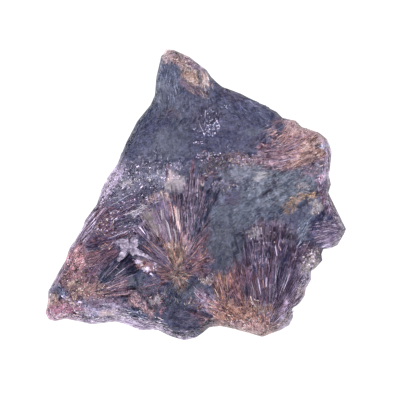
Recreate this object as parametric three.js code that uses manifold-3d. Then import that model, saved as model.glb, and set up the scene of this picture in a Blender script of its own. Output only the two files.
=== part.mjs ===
// A hand specimen of lamprophyllite: one broken slab of dark alkaline rock whose show face carries
// radiating sprays of bladed crystals. Rock and crystals grew together, so they are one solid.
// Millimetres. X runs across the slab, Y along it, Z out of its show face; the back rests at Z = 0.
import * as THREE from "three";
import { mergeVertices } from "three/addons/utils/BufferGeometryUtils.js";
import Module from "manifold-3d";

// Driving dimensions.
const FACE_HEIGHT = 20.5; // show face above the back, before slopes, ledges and hollows
const FOOT_HEIGHT = 1.8; // lower rim above the surface it rests on
const CHIP_DEPTH = 2; // how far chips bite into the flank above and below its widest line
const BACK_HOLLOWS = 1.5; // deepest hollow broken out of the back
const REST_SHARE = 0.86; // the back curls up to the lower rim beyond this share of its width
const FACE_CELLS = 28; // cells of the grid laid across the show face and the back
const ROWS_ABOVE = 2; // rows of facets on the flank above its widest line
const ROWS_BELOW = 3; // rows of facets on the flank below its widest line
const CELL_SHIFT = 1.6; // how far a corner of a facet strays from the even grid
const START_CORNER = 12; // the edge corner where the grid's first side begins
const SLIVER = 0.04; // facets thinner than this are closed up after the join
const HUB = new THREE.Vector2(0.4, -5.6); // the grid is a stack of shrunken outlines round this point
const FACE_WAVES = [
  { size: 10, height: 0.8 },
  { size: 4.5, height: 0.5 },
];

// The broken edge, clockwise from the top corner. bevel is how far the upper rim stands back from the
// widest line, foot how far the lower rim does, and waist where the widest line is: 0 top, 1 bottom.
const EDGES = [
  {
    name: "top corner", bevel: 1.2, foot: 3, waist: 0.5,
    corners: [[-9.6, 38.6], [-8.2, 40.6], [-6.2, 40.5], [-1.8, 38.6], [3.2, 34.7], [4.4, 32.8]],
  },
  {
    name: "upper right", bevel: 0.9, foot: 4, waist: 0.35,
    corners: [[7.4, 30.2], [12.5, 28.2], [17.5, 25.8], [22.5, 23.2], [24.2, 21.5], [27.9, 20.7],
      [29.5, 19], [34.3, 17.4]],
  },
  {
    name: "shoulder", bevel: 1.4, foot: 3.5, waist: 0.4,
    corners: [[36.8, 15.4], [37.9, 12], [37.4, 7.6], [37.1, 5.4], [37.7, 3], [37, 0.6]],
  },
  {
    name: "right nose", bevel: 1.8, foot: 5, waist: 0.45,
    corners: [[38.8, -3.1], [41, -7.6], [41.9, -9.5], [41, -11.5], [39.6, -14], [37.7, -14.9],
      [35.6, -15.1]],
  },
  {
    name: "lower right", bevel: 2, foot: 3, waist: 0.5,
    corners: [[35.1, -16.5], [35.4, -18.2], [33.7, -20.2], [32.3, -21.3], [32.3, -23.5],
      [30.7, -26], [30.4, -28], [29, -30.2], [27, -31.6]],
  },
  {
    name: "low chip", bevel: 2.6, foot: 2, waist: 0.7,
    corners: [[27.3, -34.2], [26.2, -36.4], [23.7, -37.8]],
  },
  {
    name: "fan root", bevel: 1.4, foot: 3, waist: 0.5,
    corners: [[18.6, -39.6], [13.9, -38.2], [9.4, -37], [6.7, -36.5]],
  },
  {
    name: "bottom block", bevel: 2.6, foot: 2.5, waist: 0.6,
    corners: [[3.8, -37], [2.1, -38.4], [0.1, -39.8], [-3.2, -40.6], [-7.1, -39.4]],
  },
  {
    name: "bottom bevel", bevel: 4.4, foot: 2, waist: 0.65,
    corners: [[-10.5, -37.7], [-15.6, -37.7], [-18.7, -36.4], [-21.9, -35.4], [-29.2, -36.1],
      [-31.8, -35.4], [-36.3, -34.6]],
  },
  {
    name: "left corner", bevel: 1.4, foot: 3, waist: 0.5,
    corners: [[-39.4, -35.3], [-41, -34.7], [-41.9, -33], [-41.3, -30.2], [-41.1, -26.8]],
  },
  {
    name: "left", bevel: 1.6, foot: 3.5, waist: 0.45,
    corners: [[-38.5, -22.1], [-36.3, -18.3], [-34.9, -14.3], [-32.3, -11.5], [-30.7, -7],
      [-27.6, -2.8], [-26.2, 1.4], [-24.5, 4.8], [-21.7, 8.7]],
  },
  {
    name: "upper left", bevel: 1.6, foot: 4, waist: 0.4,
    corners: [[-19.2, 14.8], [-16.1, 20.7], [-12.5, 25.2], [-11.3, 28], [-10.9, 32.8]],
  },
];

// The show face falls away past each of these lines; heading is the downhill way in degrees, fall the slope.
const SLOPES = [
  { x: -2, y: 12, heading: 100, fall: 0.16 },
  { x: -20, y: -2, heading: 160, fall: 0.32 },
  { x: 24, y: 8, heading: 20, fall: 0.14 },
  { x: 30, y: -8, heading: -25, fall: 0.26 },
  { x: -26, y: -25, heading: 215, fall: 0.28 },
  { x: -2, y: -29, heading: 268, fall: 0.3 },
  { x: 20, y: -36, heading: -80, fall: 0.25 },
];

// Broken steps through x, y along a heading: the rock is higher by step on the left and heals over run.
const LEDGES = [
  { x: 19.6, y: 0.5, heading: 28, half: 7, step: 0.9, run: 7 },
  { x: 29.3, y: -1.4, heading: 26, half: 7, step: 1.4, run: 6 },
  { x: -1.5, y: 9.8, heading: 5, half: 22, step: 1.2, run: 9 },
  { x: 1.3, y: -33, heading: -20, half: 7, step: 1.8, run: 6 },
  { x: -0.1, y: -37, heading: 2, half: 6, step: 1.6, run: 5 },
  { x: -10.8, y: -12.6, heading: 120, half: 9, step: -1.4, run: 6 },
  { x: 35.4, y: -12.6, heading: 3, half: 7, step: 1.6, run: 5 },
  { x: 29.3, y: -22.4, heading: 72, half: 10, step: 2, run: 6 },
];

// Hollows, with a height below zero, and swells: each an ellipse turned by its heading.
const SWELLS = [
  { name: "hollow under the crust", x: -18, y: -19.4, rx: 5.5, ry: 3.2, heading: 25, height: -3.2 },
  { name: "crevice", x: 25.8, y: 2.6, rx: 4, ry: 1.4, heading: 30, height: -0.8 },
  { name: "groove in the top corner", x: 1.4, y: 32.8, rx: 1.3, ry: 3.4, heading: 8, height: -1.1 },
  { name: "lower right fan", x: 19, y: -24, rx: 9, ry: 12, heading: 0, height: 0.6 },
  { name: "star", x: -5, y: -14, rx: 11, ry: 11, heading: 0, height: 0.8 },
];

// Grains of other minerals half sunk in the face; heading in degrees, rise is how far each stands proud.
const GRAINS = [
  { name: "pink grain", x: -15.3, y: -30, length: 6.2, width: 4, heading: -40, rise: 0.9 },
  { name: "grey grain", x: -10.4, y: -28.8, length: 4.2, width: 3, heading: 60, rise: 0.8 },
  { name: "pale green grain", x: -5.5, y: 3.6, length: 5.2, width: 4.4, heading: 15, rise: 0.6 },
  { name: "tan cap", x: -4.2, y: 34.4, length: 6.6, width: 4.4, heading: -50, rise: 0.8 },
  { name: "shoulder grain", x: 34.6, y: 13.2, length: 3.2, width: 2.8, heading: 20, rise: 0.8 },
  { name: "ochre grain", x: 28.8, y: -1.6, length: 7, width: 3.4, heading: 24, rise: 0.5 },
  { name: "left pink grain", x: -33, y: -19.4, length: 4.6, width: 3.6, heading: 60, rise: 0.7 },
  { name: "nose grain", x: 37, y: -7.6, length: 5.4, width: 3.8, heading: 70, rise: 0.6 },
];
const GRAIN_DEPTH = 3.4; // a grain's full height, most of it in the rock

// The pale crust that overhangs the hollow: its rim on the face, how thick it is and how it lies.
const CRUST = {
  rim: [[-22.4, -13.2], [-18.8, -11.4], [-15.2, -12.6], [-12.4, -12.2], [-10.2, -14.6],
    [-11.2, -17.2], [-14.4, -18.2], [-15.2, -20.6], [-12.2, -21.4], [-13.4, -23],
    [-17.4, -22], [-18.6, -18.6], [-21.8, -17.4], [-24.2, -15.2]],
  thickness: 1.8,
  proud: 0.6,
};

// Sprays of blades: every sector opens from the spray's root between two directions in degrees.
const SPRAYS = [
  {
    name: "star", x: -4.9, y: -21.6, start: 1,
    sectors: [
      { from: 108, to: 132, near: 16, far: 20, count: 4, width: 3.2 },
      { from: 64, to: 104, near: 17, far: 30, count: 11, width: 1.7 },
      { from: -6, to: 58, near: 6, far: 9, count: 6, width: 1.6 },
      { from: 200, to: 340, near: 4.5, far: 7, count: 7, width: 1.5 },
      { from: 138, to: 178, near: 9, far: 15, count: 5, width: 1.7 },
    ],
  },
  {
    name: "lower right fan", x: 18.6, y: -38.9, start: 6.5,
    sectors: [
      { from: 66, to: 108, near: 20, far: 31, count: 13, width: 1.9 },
      { from: 114, to: 150, near: 12, far: 19, count: 7, width: 1.7 },
      { from: 34, to: 60, near: 10, far: 16, count: 5, width: 1.7 },
    ],
  },
  {
    name: "lower left fan", x: -29.5, y: -27.4, start: 1,
    sectors: [
      { from: -4, to: 46, near: 9, far: 16, count: 7, width: 1.6 },
      { from: 70, to: 190, near: 4, far: 7, count: 4, width: 1.6 },
    ],
  },
  {
    name: "shoulder fan", x: 36.5, y: 13.7, start: 3.5,
    sectors: [{ from: 170, to: 212, near: 12, far: 21, count: 9, width: 1.8 }],
  },
  {
    name: "left edge columns", x: -40.7, y: -26.6, start: 12,
    sectors: [{ from: 50, to: 58, near: 21, far: 26, count: 3, width: 1.8 }],
  },
  {
    name: "middle laths", x: -40.7, y: -18.8, start: 15,
    sectors: [{ from: 12, to: 34, near: 20, far: 28, count: 6, width: 1.5 }],
  },
];
const BLADE_PROUD = 0.7; // how far a blade's back stands above the rock
const BLADE_DEPTH = 3; // a blade's full depth, most of it in the rock
const BLADE_ROOT = 0.3; // a blade's width at its root, as a share of its full width
const BLADE_LEAN = 22; // the most that a blade is turned about its own length, in degrees
const BLADE_LIMIT = 0.93; // blades end before this share of the way from the hub to the edge

const radians = THREE.MathUtils.degToRad;
const lerp = THREE.MathUtils.lerp;
const fraction = (v) => v - Math.floor(v);
const chance = (a, b) => fraction(Math.sin(a * 127.1 + b * 311.7) * 43758.5453);

// Smooth noise from -1 to 1: random heights on a square lattice, eased between its corners.
function noise(x, y) {
  const column = Math.floor(x);
  const row = Math.floor(y);
  const easeX = THREE.MathUtils.smoothstep(x - column, 0, 1);
  const easeY = THREE.MathUtils.smoothstep(y - row, 0, 1);
  const low = lerp(chance(column, row), chance(column + 1, row), easeX);
  const high = lerp(chance(column, row + 1), chance(column + 1, row + 1), easeX);
  return 2 * lerp(low, high, easeY) - 1;
}

// Where x, y lies from a feature: along its heading, and across it to the left.
function offsets(feature, x, y) {
  const turn = radians(feature.heading);
  const dx = x - feature.x;
  const dy = y - feature.y;
  return {
    along: dx * Math.cos(turn) + dy * Math.sin(turn),
    across: dy * Math.cos(turn) - dx * Math.sin(turn),
  };
}

// Height of the show face: a plane, less its slopes, plus steps, hollows, swells and waves.
function faceHeight(x, y) {
  let height = FACE_HEIGHT;
  for (const slope of SLOPES) {
    const { along } = offsets(slope, x, y);
    height -= slope.fall * 2 * Math.log1p(Math.exp(along / 2));
  }
  for (const ledge of LEDGES) {
    const { along, across } = offsets(ledge, x, y);
    const reach = Math.exp(-((along / ledge.half) ** 4) - Math.abs(across) / ledge.run);
    height += (ledge.step / 2) * Math.tanh(across / 0.5) * reach;
  }
  for (const swell of SWELLS) {
    const { along, across } = offsets(swell, x, y);
    height += swell.height * Math.exp(-((along / swell.rx) ** 2) - (across / swell.ry) ** 2);
  }
  for (const wave of FACE_WAVES) height += wave.height * noise(x / wave.size, y / wave.size);
  return height;
}

// Height of the back: flat where it rests, with hollows where it broke away.
function backHeight(x, y) {
  return BACK_HOLLOWS * Math.max(0, noise(x / 11 + 40, y / 11) + 0.3 * noise(x / 4, y / 4 + 70) - 0.1);
}

// The edge anticlockwise, as corners with their bevel, foot and waist. The longest stretch is halved
// again and again until there is a corner for every cell round the grid.
function edgeCorners() {
  const corners = EDGES.flatMap((edge) =>
    edge.corners.map(([x, y]) => ({ x, y, bevel: edge.bevel, foot: edge.foot, waist: edge.waist })),
  ).reverse();
  while (corners.length < 4 * FACE_CELLS) {
    const lengths = corners.map((a, i) => {
      const b = corners[(i + 1) % corners.length];
      return Math.hypot(b.x - a.x, b.y - a.y);
    });
    const longest = lengths.indexOf(Math.max(...lengths));
    corners.splice(longest + 1, 0, between(corners[longest], corners[(longest + 1) % corners.length], 0.5));
  }
  return corners;
}

function between(a, b, share) {
  const mixed = {};
  for (const key of Object.keys(a)) mixed[key] = lerp(a[key], b[key], share);
  return mixed;
}

// A point set back from an edge corner towards the hub.
function setBack(corner, inset) {
  const out = new THREE.Vector2(corner.x, corner.y).sub(HUB);
  return out.setLength(out.length() - inset).add(HUB);
}

// A point on the flank; row 0 is the upper rim, ROWS_ABOVE the widest line, the last row the lower rim.
function flankPoint(corner, row) {
  const above = Math.max(0, 1 - row / ROWS_ABOVE);
  const below = Math.max(0, (row - ROWS_ABOVE) / ROWS_BELOW);
  const down = above > 0 ? corner.waist * (1 - above) : lerp(corner.waist, 1, below);
  const rim = setBack(corner, corner.bevel);
  const height = lerp(faceHeight(rim.x, rim.y), FOOT_HEIGHT, down);
  const free = 4 * Math.max(above * (1 - above), below * (1 - below));
  const chip = CHIP_DEPTH * chance(Math.round(corner.x), Math.round(corner.y) + row) ** 2;
  const inset = corner.bevel * above ** 1.3 + corner.foot * below ** 1.5 + chip * free;
  const place = setBack(corner, inset);
  return new THREE.Vector3(place.x, place.y, height);
}

// Where a point of the grid's square, from -1 to 1 both ways, falls: its ring and its edge corner.
function gridPlace(corners, x, y) {
  const ring = Math.max(Math.abs(x), Math.abs(y));
  if (ring < 1e-6) return { ring: 0, corner: corners[0] };
  const [u, v] = [x / ring, y / ring];
  let turn = 0;
  if (u > 0.999999) turn = (v + 1) / 2;
  else if (v > 0.999999) turn = 1 + (1 - u) / 2;
  else if (u < -0.999999) turn = 2 + (1 - v) / 2;
  else turn = 3 + (u + 1) / 2;
  const index = turn * FACE_CELLS + START_CORNER;
  const first = Math.floor(index + 1e-6);
  const a = corners[first % corners.length];
  const b = corners[(first + 1) % corners.length];
  return { ring, corner: between(a, b, Math.max(0, index - first)) };
}

// The slab: a gridded box whose top takes the shape of the face, its sides the flank, its foot the back.
function slabGeometry(corners) {
  const rows = ROWS_ABOVE + ROWS_BELOW;
  const geometry = new THREE.BoxGeometry(2, 2, rows, FACE_CELLS, FACE_CELLS, rows);
  const position = geometry.getAttribute("position");
  const normal = geometry.getAttribute("normal");
  for (let i = 0; i < position.count; i++) {
    const { ring, corner } = gridPlace(corners, position.getX(i), position.getY(i));
    const row = Math.round(rows / 2 - position.getZ(i));
    let point = flankPoint(corner, row);
    if (normal.getZ(i) !== 0 && ring < 1 - 1e-6) {
      const place = HUB.clone().lerp(new THREE.Vector2(point.x, point.y), ring);
      place.x += CELL_SHIFT * (chance(Math.round(place.x * 9), Math.round(place.y * 9)) - 0.5);
      place.y += CELL_SHIFT * (chance(Math.round(place.y * 9), Math.round(place.x * 9)) - 0.5);
      point = normal.getZ(i) > 0 ? facePoint(place) : backPoint(place, ring);
    }
    position.setXYZ(i, point.x, point.y, point.z);
  }
  return geometry;
}

function facePoint({ x, y }) {
  return new THREE.Vector3(x, y, faceHeight(x, y));
}

function backPoint({ x, y }, ring) {
  const curl = Math.max(0, (ring - REST_SHARE) / (1 - REST_SHARE));
  return new THREE.Vector3(x, y, lerp(backHeight(x, y), FOOT_HEIGHT, curl ** 1.4));
}

// How far the edge is from the hub in the direction of a point.
function edgeReach(corners, x, y) {
  const way = new THREE.Vector2(x, y).sub(HUB).normalize();
  let reach = 0;
  corners.forEach((corner, i) => {
    const a = new THREE.Vector2(corner.x, corner.y).sub(HUB);
    const next = corners[(i + 1) % corners.length];
    const b = new THREE.Vector2(next.x, next.y).sub(HUB);
    if (way.cross(a) > 0 || way.cross(b) <= 0) return;
    reach = a.cross(b) / (way.cross(b) - way.cross(a));
  });
  return reach;
}

// One blade: a box narrowed at its root and chiselled at its tip, laid from root to tip on the face.
function bladeGeometry(root, tip, width, lean) {
  const length = root.distanceTo(tip);
  const geometry = new THREE.BoxGeometry(length, width, BLADE_DEPTH);
  const position = geometry.getAttribute("position");
  for (let i = 0; i < position.count; i++) {
    if (position.getX(i) < 0) position.setY(i, position.getY(i) * BLADE_ROOT);
    else if (position.getZ(i) > 0) position.setX(i, position.getX(i) - width / 2);
  }
  const along = tip.clone().sub(root).normalize();
  const side = new THREE.Vector3(0, 0, 1).cross(along).normalize();
  const up = along.clone().cross(side);
  const lay = new THREE.Matrix4().makeBasis(along, side, up);
  const middle = root.clone().lerp(tip, 0.5);
  const sag = faceHeight(middle.x, middle.y) - middle.z;
  middle.z += BLADE_PROUD - BLADE_DEPTH / 2 + Math.max(0, 0.7 * sag);
  geometry.applyMatrix4(new THREE.Matrix4().makeRotationX(lean));
  geometry.applyMatrix4(lay.setPosition(middle));
  return geometry;
}

function sprayBlades(spray, corners) {
  const at = (angle, radius) => {
    const x = spray.x + radius * Math.cos(angle);
    const y = spray.y + radius * Math.sin(angle);
    return new THREE.Vector3(x, y, faceHeight(x, y));
  };
  return spray.sectors.flatMap((sector, s) =>
    Array.from({ length: sector.count }, (_, i) => {
      const seed = 31 * s + i;
      const share = (i + 0.2 + 0.6 * chance(seed, 1)) / sector.count;
      const angle = radians(THREE.MathUtils.lerp(sector.from, sector.to, share));
      let reach = THREE.MathUtils.lerp(sector.near, sector.far, chance(seed, 2));
      for (let tries = 0; tries < 12; tries++) {
        const end = at(angle, reach);
        const out = Math.hypot(end.x - HUB.x, end.y - HUB.y) / edgeReach(corners, end.x, end.y);
        if (out > BLADE_LIMIT) reach *= 0.93;
      }
      const width = sector.width * (0.7 + 0.6 * chance(seed, 3));
      const lean = radians(BLADE_LEAN * (2 * chance(seed, 4) - 1));
      return bladeGeometry(at(angle, spray.start), at(angle, reach), width, lean);
    }),
  );
}

// A grain: a rough ball of flat faces, stretched and turned, standing proud of the face by its rise.
function grainGeometry(grain) {
  const geometry = new THREE.IcosahedronGeometry(0.5, 1);
  geometry.scale(grain.length, grain.width, GRAIN_DEPTH);
  geometry.rotateZ(radians(grain.heading));
  const height = faceHeight(grain.x, grain.y) + grain.rise - GRAIN_DEPTH / 2;
  return geometry.translate(grain.x, grain.y, height);
}

// The crust: its rim drawn out to a plate and laid on the plane through three points of the face.
function crustGeometry() {
  const shape = new THREE.Shape(CRUST.rim.map(([x, y]) => new THREE.Vector2(x, y)));
  const settings = { depth: CRUST.thickness, bevelEnabled: false, steps: 1 };
  const geometry = new THREE.ExtrudeGeometry(shape, settings);
  const position = geometry.getAttribute("position");
  for (let i = 0; i < position.count; i++) {
    const x = position.getX(i);
    const y = position.getY(i);
    const top = lerp(faceHeight(-24, -13), faceHeight(-9, -16), (x + 24) / 15) + CRUST.proud;
    position.setZ(i, top + position.getZ(i) - CRUST.thickness);
  }
  return geometry;
}

const wasm = await Module();
wasm.setup();

function solidOf(geometry) {
  geometry.deleteAttribute("normal");
  geometry.deleteAttribute("uv");
  const merged = mergeVertices(geometry, 1e-4);
  return new wasm.Manifold(
    new wasm.Mesh({
      numProp: 3,
      vertProperties: merged.getAttribute("position").array,
      triVerts: new Uint32Array(merged.index.array),
    }),
  );
}

function specimenGeometry() {
  const corners = edgeCorners();
  const shapes = [
    slabGeometry(corners),
    crustGeometry(),
    ...GRAINS.map(grainGeometry),
    ...SPRAYS.flatMap((spray) => sprayBlades(spray, corners)),
  ];
  const solid = wasm.Manifold.union(shapes.map(solidOf));
  // A gap shut in between crossing blades is no part of the rock: only the outermost skin is kept.
  const skins = solid.simplify(SLIVER).decompose().sort((a, b) => b.volume() - a.volume());
  const mesh = skins[0].getMesh();
  const geometry = new THREE.BufferGeometry();
  geometry.setAttribute("position", new THREE.BufferAttribute(mesh.vertProperties, 3));
  geometry.setIndex(new THREE.BufferAttribute(mesh.triVerts, 1));
  geometry.computeVertexNormals();
  geometry.computeBoundingBox();
  const centre = geometry.boundingBox.getCenter(new THREE.Vector3());
  return geometry.translate(-centre.x, -centre.y, 0);
}

const rock = new THREE.MeshStandardMaterial({
  name: "rock",
  color: "#5d5a6e",
  roughness: 0.62,
  metalness: 0,
  flatShading: true,
});

const specimen = new THREE.Mesh(specimenGeometry(), rock);
specimen.name = "lamprophyllite_specimen";

const part = new THREE.Group();
part.add(specimen);

export default part;
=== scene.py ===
# A hand specimen of lamprophyllite: a broken slab of dark alkaline rock with radiating sprays of
# bladed crystals on its show face. Shapes are worked out in millimetres and handed over in metres.
import math

import bpy
import numpy as np
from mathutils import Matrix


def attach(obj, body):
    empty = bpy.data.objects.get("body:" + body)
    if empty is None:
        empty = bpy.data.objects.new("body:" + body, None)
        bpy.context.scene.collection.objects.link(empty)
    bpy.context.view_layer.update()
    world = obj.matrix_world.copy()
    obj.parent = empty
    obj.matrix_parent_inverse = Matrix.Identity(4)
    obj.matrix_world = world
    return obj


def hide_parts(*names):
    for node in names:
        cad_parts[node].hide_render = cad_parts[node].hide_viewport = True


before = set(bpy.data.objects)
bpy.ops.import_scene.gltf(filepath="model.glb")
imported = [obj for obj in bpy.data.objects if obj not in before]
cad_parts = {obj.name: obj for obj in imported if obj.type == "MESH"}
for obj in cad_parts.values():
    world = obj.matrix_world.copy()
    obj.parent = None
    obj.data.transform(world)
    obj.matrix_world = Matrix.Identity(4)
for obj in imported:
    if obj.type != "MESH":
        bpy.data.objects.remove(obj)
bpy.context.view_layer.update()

metres = 0.001
node = "lamprophyllite_specimen"

# What each mineral looks like: its body, its bright flecks and cleavage (partly paler grains, partly painted
# glints), and its painted shade for cracks and gaps.
minerals = {
    "slate": ("#2d344e", "#566183", "#1e2238"),  # aegirine-rich rock, fine grained
    "greySlate": ("#394051", "#657086", "#262a3b"),  # the same with more nepheline
    "smoothSlate": ("#3b4453", "#5a6475", "#2d3441"),  # aegirine felt, smooth break
    "violet": ("#272b4a", "#4e5280", "#191a34"),
    "umber": ("#544e56", "#93878c", "#302a3b"),
    "darkBlock": ("#2e3643", "#566170", "#1d2231"),
    "tealSlate": ("#505a66", "#808e97", "#303948"),
    "bluePlate": ("#6a7078", "#9aa1a6", "#3d4351"),
    "steel": ("#6e7a91", "#b4bfcf", "#39415f"),  # arfvedsonite
    "frost": ("#9399a9", "#d2d7e1", "#50556b"),
    "indigo": ("#332f49", "#656188", "#19162b"),  # open gaps and shade
    # painted shade: the colours of deep hollows, dark pits and open cracks
    "hollow": ("#221e36", "#565079", "#0e0b1c"),
    "tan": ("#b99f94", "#efe0d5", "#5d4651"),  # weathered titanite and feldspar
    "golden": ("#a98e7a", "#e7d0b6", "#54424b"),
    "ochre": ("#9a816b", "#e4caa8", "#57454a"),
    "rust": ("#916a5f", "#dab2a2", "#503743"),
    "rosy": ("#ab8f90", "#ecd0ca", "#4e3849"),  # lamprophyllite, fine fibres
    "brown": ("#916b67", "#d5b3a5", "#3d2b39"),
    "goldBrown": ("#a47c62", "#e6c5a4", "#48333b"),  # lamprophyllite near the root of a spray
    "olive": ("#726359", "#b3a58f", "#38313a"),
    "maroon": ("#644450", "#a9808a", "#2e1c2e"),  # lamprophyllite seen down its length
    "cleavage": ("#665862", "#8d7f8d", "#463a48"),  # its cleavage faces turned to the light
    "sage": ("#6a645f", "#938d82", "#46413f"),
    "mauve": ("#7b6977", "#b6a3b2", "#40334a"),  # lamprophyllite, broad cleavage faces
    "plum": ("#51455b", "#9a8ca8", "#292239"),  # lamprophyllite blades in shade
    "rubble": ("#6b5f6b", "#cfc3cc", "#31283c"),  # mixed grains
    "speckled": ("#5b5a69", "#c9c6cc", "#302e44"),
    "milky": ("#a89cac", "#e2d9e5", "#695f72"),  # natrolite and feldspar
    "crust": ("#786f7c", "#b4abb5", "#4b4355"),  # natrolite skin over the fibres
    "paleGreen": ("#93928f", "#cecbc6", "#605e66"),
    "greyGrain": ("#98938f", "#d2ccc4", "#6c666a"),  # nepheline, greasy and grey
    "salmon": ("#c28e8f", "#ebc7c4", "#5e4251"),  # eudialyte
    "cherry": ("#a16c7c", "#e4b0bf", "#4e3146"),
    "white": ("#c8bccb", "#f7f0f7", "#857992"),
    "cream": ("#b4a49b", "#ece0d4", "#756660"),
}


def linear(hexColour):
    # sRGB hex to linear light: the standard curve, x/12.92 low down and ((x+0.055)/1.055)^2.4 above
    srgb = np.array([int(hexColour[place:place + 2], 16) for place in (1, 3, 5)]) / 255
    return np.where(srgb < 0.04045, srgb / 12.92, ((srgb + 0.055) / 1.055) ** 2.4)


palette = {name: np.array([linear(shade) for shade in row]) for name, row in minerals.items()}
mineralNames = list(minerals)
mineralTable = np.array([palette[name] for name in mineralNames])


def numbersOf(names):
    # rows of the mineral table for names with spaces between them
    return np.array([mineralNames.index(name) for name in names.split()])


# noise and small helpers, all on whole arrays
def chance(first, second):
    # a repeatable random number from 0 to 1 for each pair: the fraction of a large sine
    return np.mod(np.sin(first * 127.1 + second * 311.7) * 43758.5453, 1.0)


def ease(low, high, value):
    # 0 below low, 1 above high, 3t^2 - 2t^3 between
    share = np.clip((value - low) / (high - low), 0, 1)
    return share * share * (3 - 2 * share)


def noise(x, y):
    # random heights on a unit lattice, eased between its corners, from -1 to 1
    column, row = np.floor(x), np.floor(y)
    easeX, easeY = ease(0, 1, x - column), ease(0, 1, y - row)
    low = chance(column, row) * (1 - easeX) + chance(column + 1, row) * easeX
    high = chance(column, row + 1) * (1 - easeX) + chance(column + 1, row + 1) * easeX
    return 2 * (low * (1 - easeY) + high * easeY) - 1


def layered(x, y, size, layers=3, seed=0):
    # noise at a size in mm plus finer layers, each half as large and 0.6 as strong, turned by 37 degrees
    total, strength, weight = 0, 1.0, 0
    for layer in range(layers):
        turn = 0.65 * layer + seed
        across = x * math.cos(turn) - y * math.sin(turn)
        along = x * math.sin(turn) + y * math.cos(turn)
        total = total + strength * noise(across / size + 17.3 * seed, along / size - 9.1 * seed)
        weight += strength * strength
        strength *= 0.6
        size *= 0.5
    return total / math.sqrt(weight)


def facets(x, y, size, seed=0):
    # broken facets: every cell of a jittered lattice is a small plane with its own tilt and level
    cellX, cellY = np.floor(x / size), np.floor(y / size)
    nearest, level = np.full(x.shape, 9.0), np.zeros(x.shape)
    for stepX in (-1, 0, 1):
        for stepY in (-1, 0, 1):
            column, row = cellX + stepX, cellY + stepY
            offX = x / size - column - chance(column + seed, row)
            offY = y / size - row - chance(row - seed, column)
            distance = offX * offX + offY * offY
            tilt = 2 * chance(column, row + seed + 31) - 1
            lean = 2 * chance(column + 57, row - seed) - 1
            plane = 0.7 * (tilt * offX + lean * offY) + 2 * chance(column + seed + 5, row) - 1
            closer = distance < nearest
            nearest = np.where(closer, distance, nearest)
            level = np.where(closer, plane, level)
    return level


def offsets(atX, atY, heading, x, y):
    # how far each point lies along a heading from a place, and across it to the left
    turn = math.radians(heading)
    dx, dy = x - atX, y - atY
    return dx * math.cos(turn) + dy * math.sin(turn), dy * math.cos(turn) - dx * math.sin(turn)


def reached(atX, atY, turn, along, across):
    # the reverse: the place so far along a heading in radians, and so far across it
    return (atX + along * np.cos(turn) - across * np.sin(turn),
            atY + along * np.sin(turn) + across * np.cos(turn))


def spreadOut(rng, limits, shape, curve=1):
    # random numbers: the least, plus as much more as a random share raised to a power
    least, more = limits
    return least + more * rng.random(shape) ** curve


def mixed(start, end, share):
    # each colour moved from start towards end by its point's share
    return start + (end - start) * share[..., None]


# the slab, with the same edge, slopes, steps and swells as the solid
slab = {
    "faceHeight": 20.5,  # mm
    "footHeight": 1.8,  # where the flank meets the back
    "hub": (0.4, -5.6),  # the outline's rings close in on this place
    "waves": ((10, 0.8), (4.5, 0.5)),  # length and height of the face's swell
    "hinge": 2,  # length over which a slope sets in
    "stepWidth": 0.5,  # half width of a ledge's drop
    "corners": 112,
    "startCorner": 12,  # the grid's first corner lies here
    "cells": 226,  # across the face
    "flankRows": 32,
    "rowsAbove": 0.4,  # share of them above the widest line
    "rimCurve": 1.3,
    "footCurve": 1.5,
    "girth": 38,  # radius at which patterns are measured round the flank
    "chipDepth": 2.2,
    "chipSize": 5.2,
    "chipSquash": 1.4,  # how much wider than tall chips on the flank are
    "layerDepth": 0.35,
    "layerSize": (9, 0.9),  # along the flank and up it
    "roughDepth": 0.3,  # of fine noise and small facets
    "roughSize": 1.6,
    "splinterSize": 2.1,
    "playAbove": 2.2,  # how freely the flank may leave its line above and below the widest place
    "playBelow": 4,
    "calmRim": (0.6, 0.97),  # the relief shrinks by this share towards the rim, from this ring on
    "backRings": 16,
    "backHollows": 1.5,
    "hollowSizes": (11, 4),  # of the coarse noise that makes them and of the fine
    "hollowFine": 0.3,
    "hollowLevel": 0.1,
    "backChips": (0.22, 2.2),  # depth and size
    "backCurve": 1.4,
    "restShare": 0.86,  # share of the back that may touch the table
}
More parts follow.
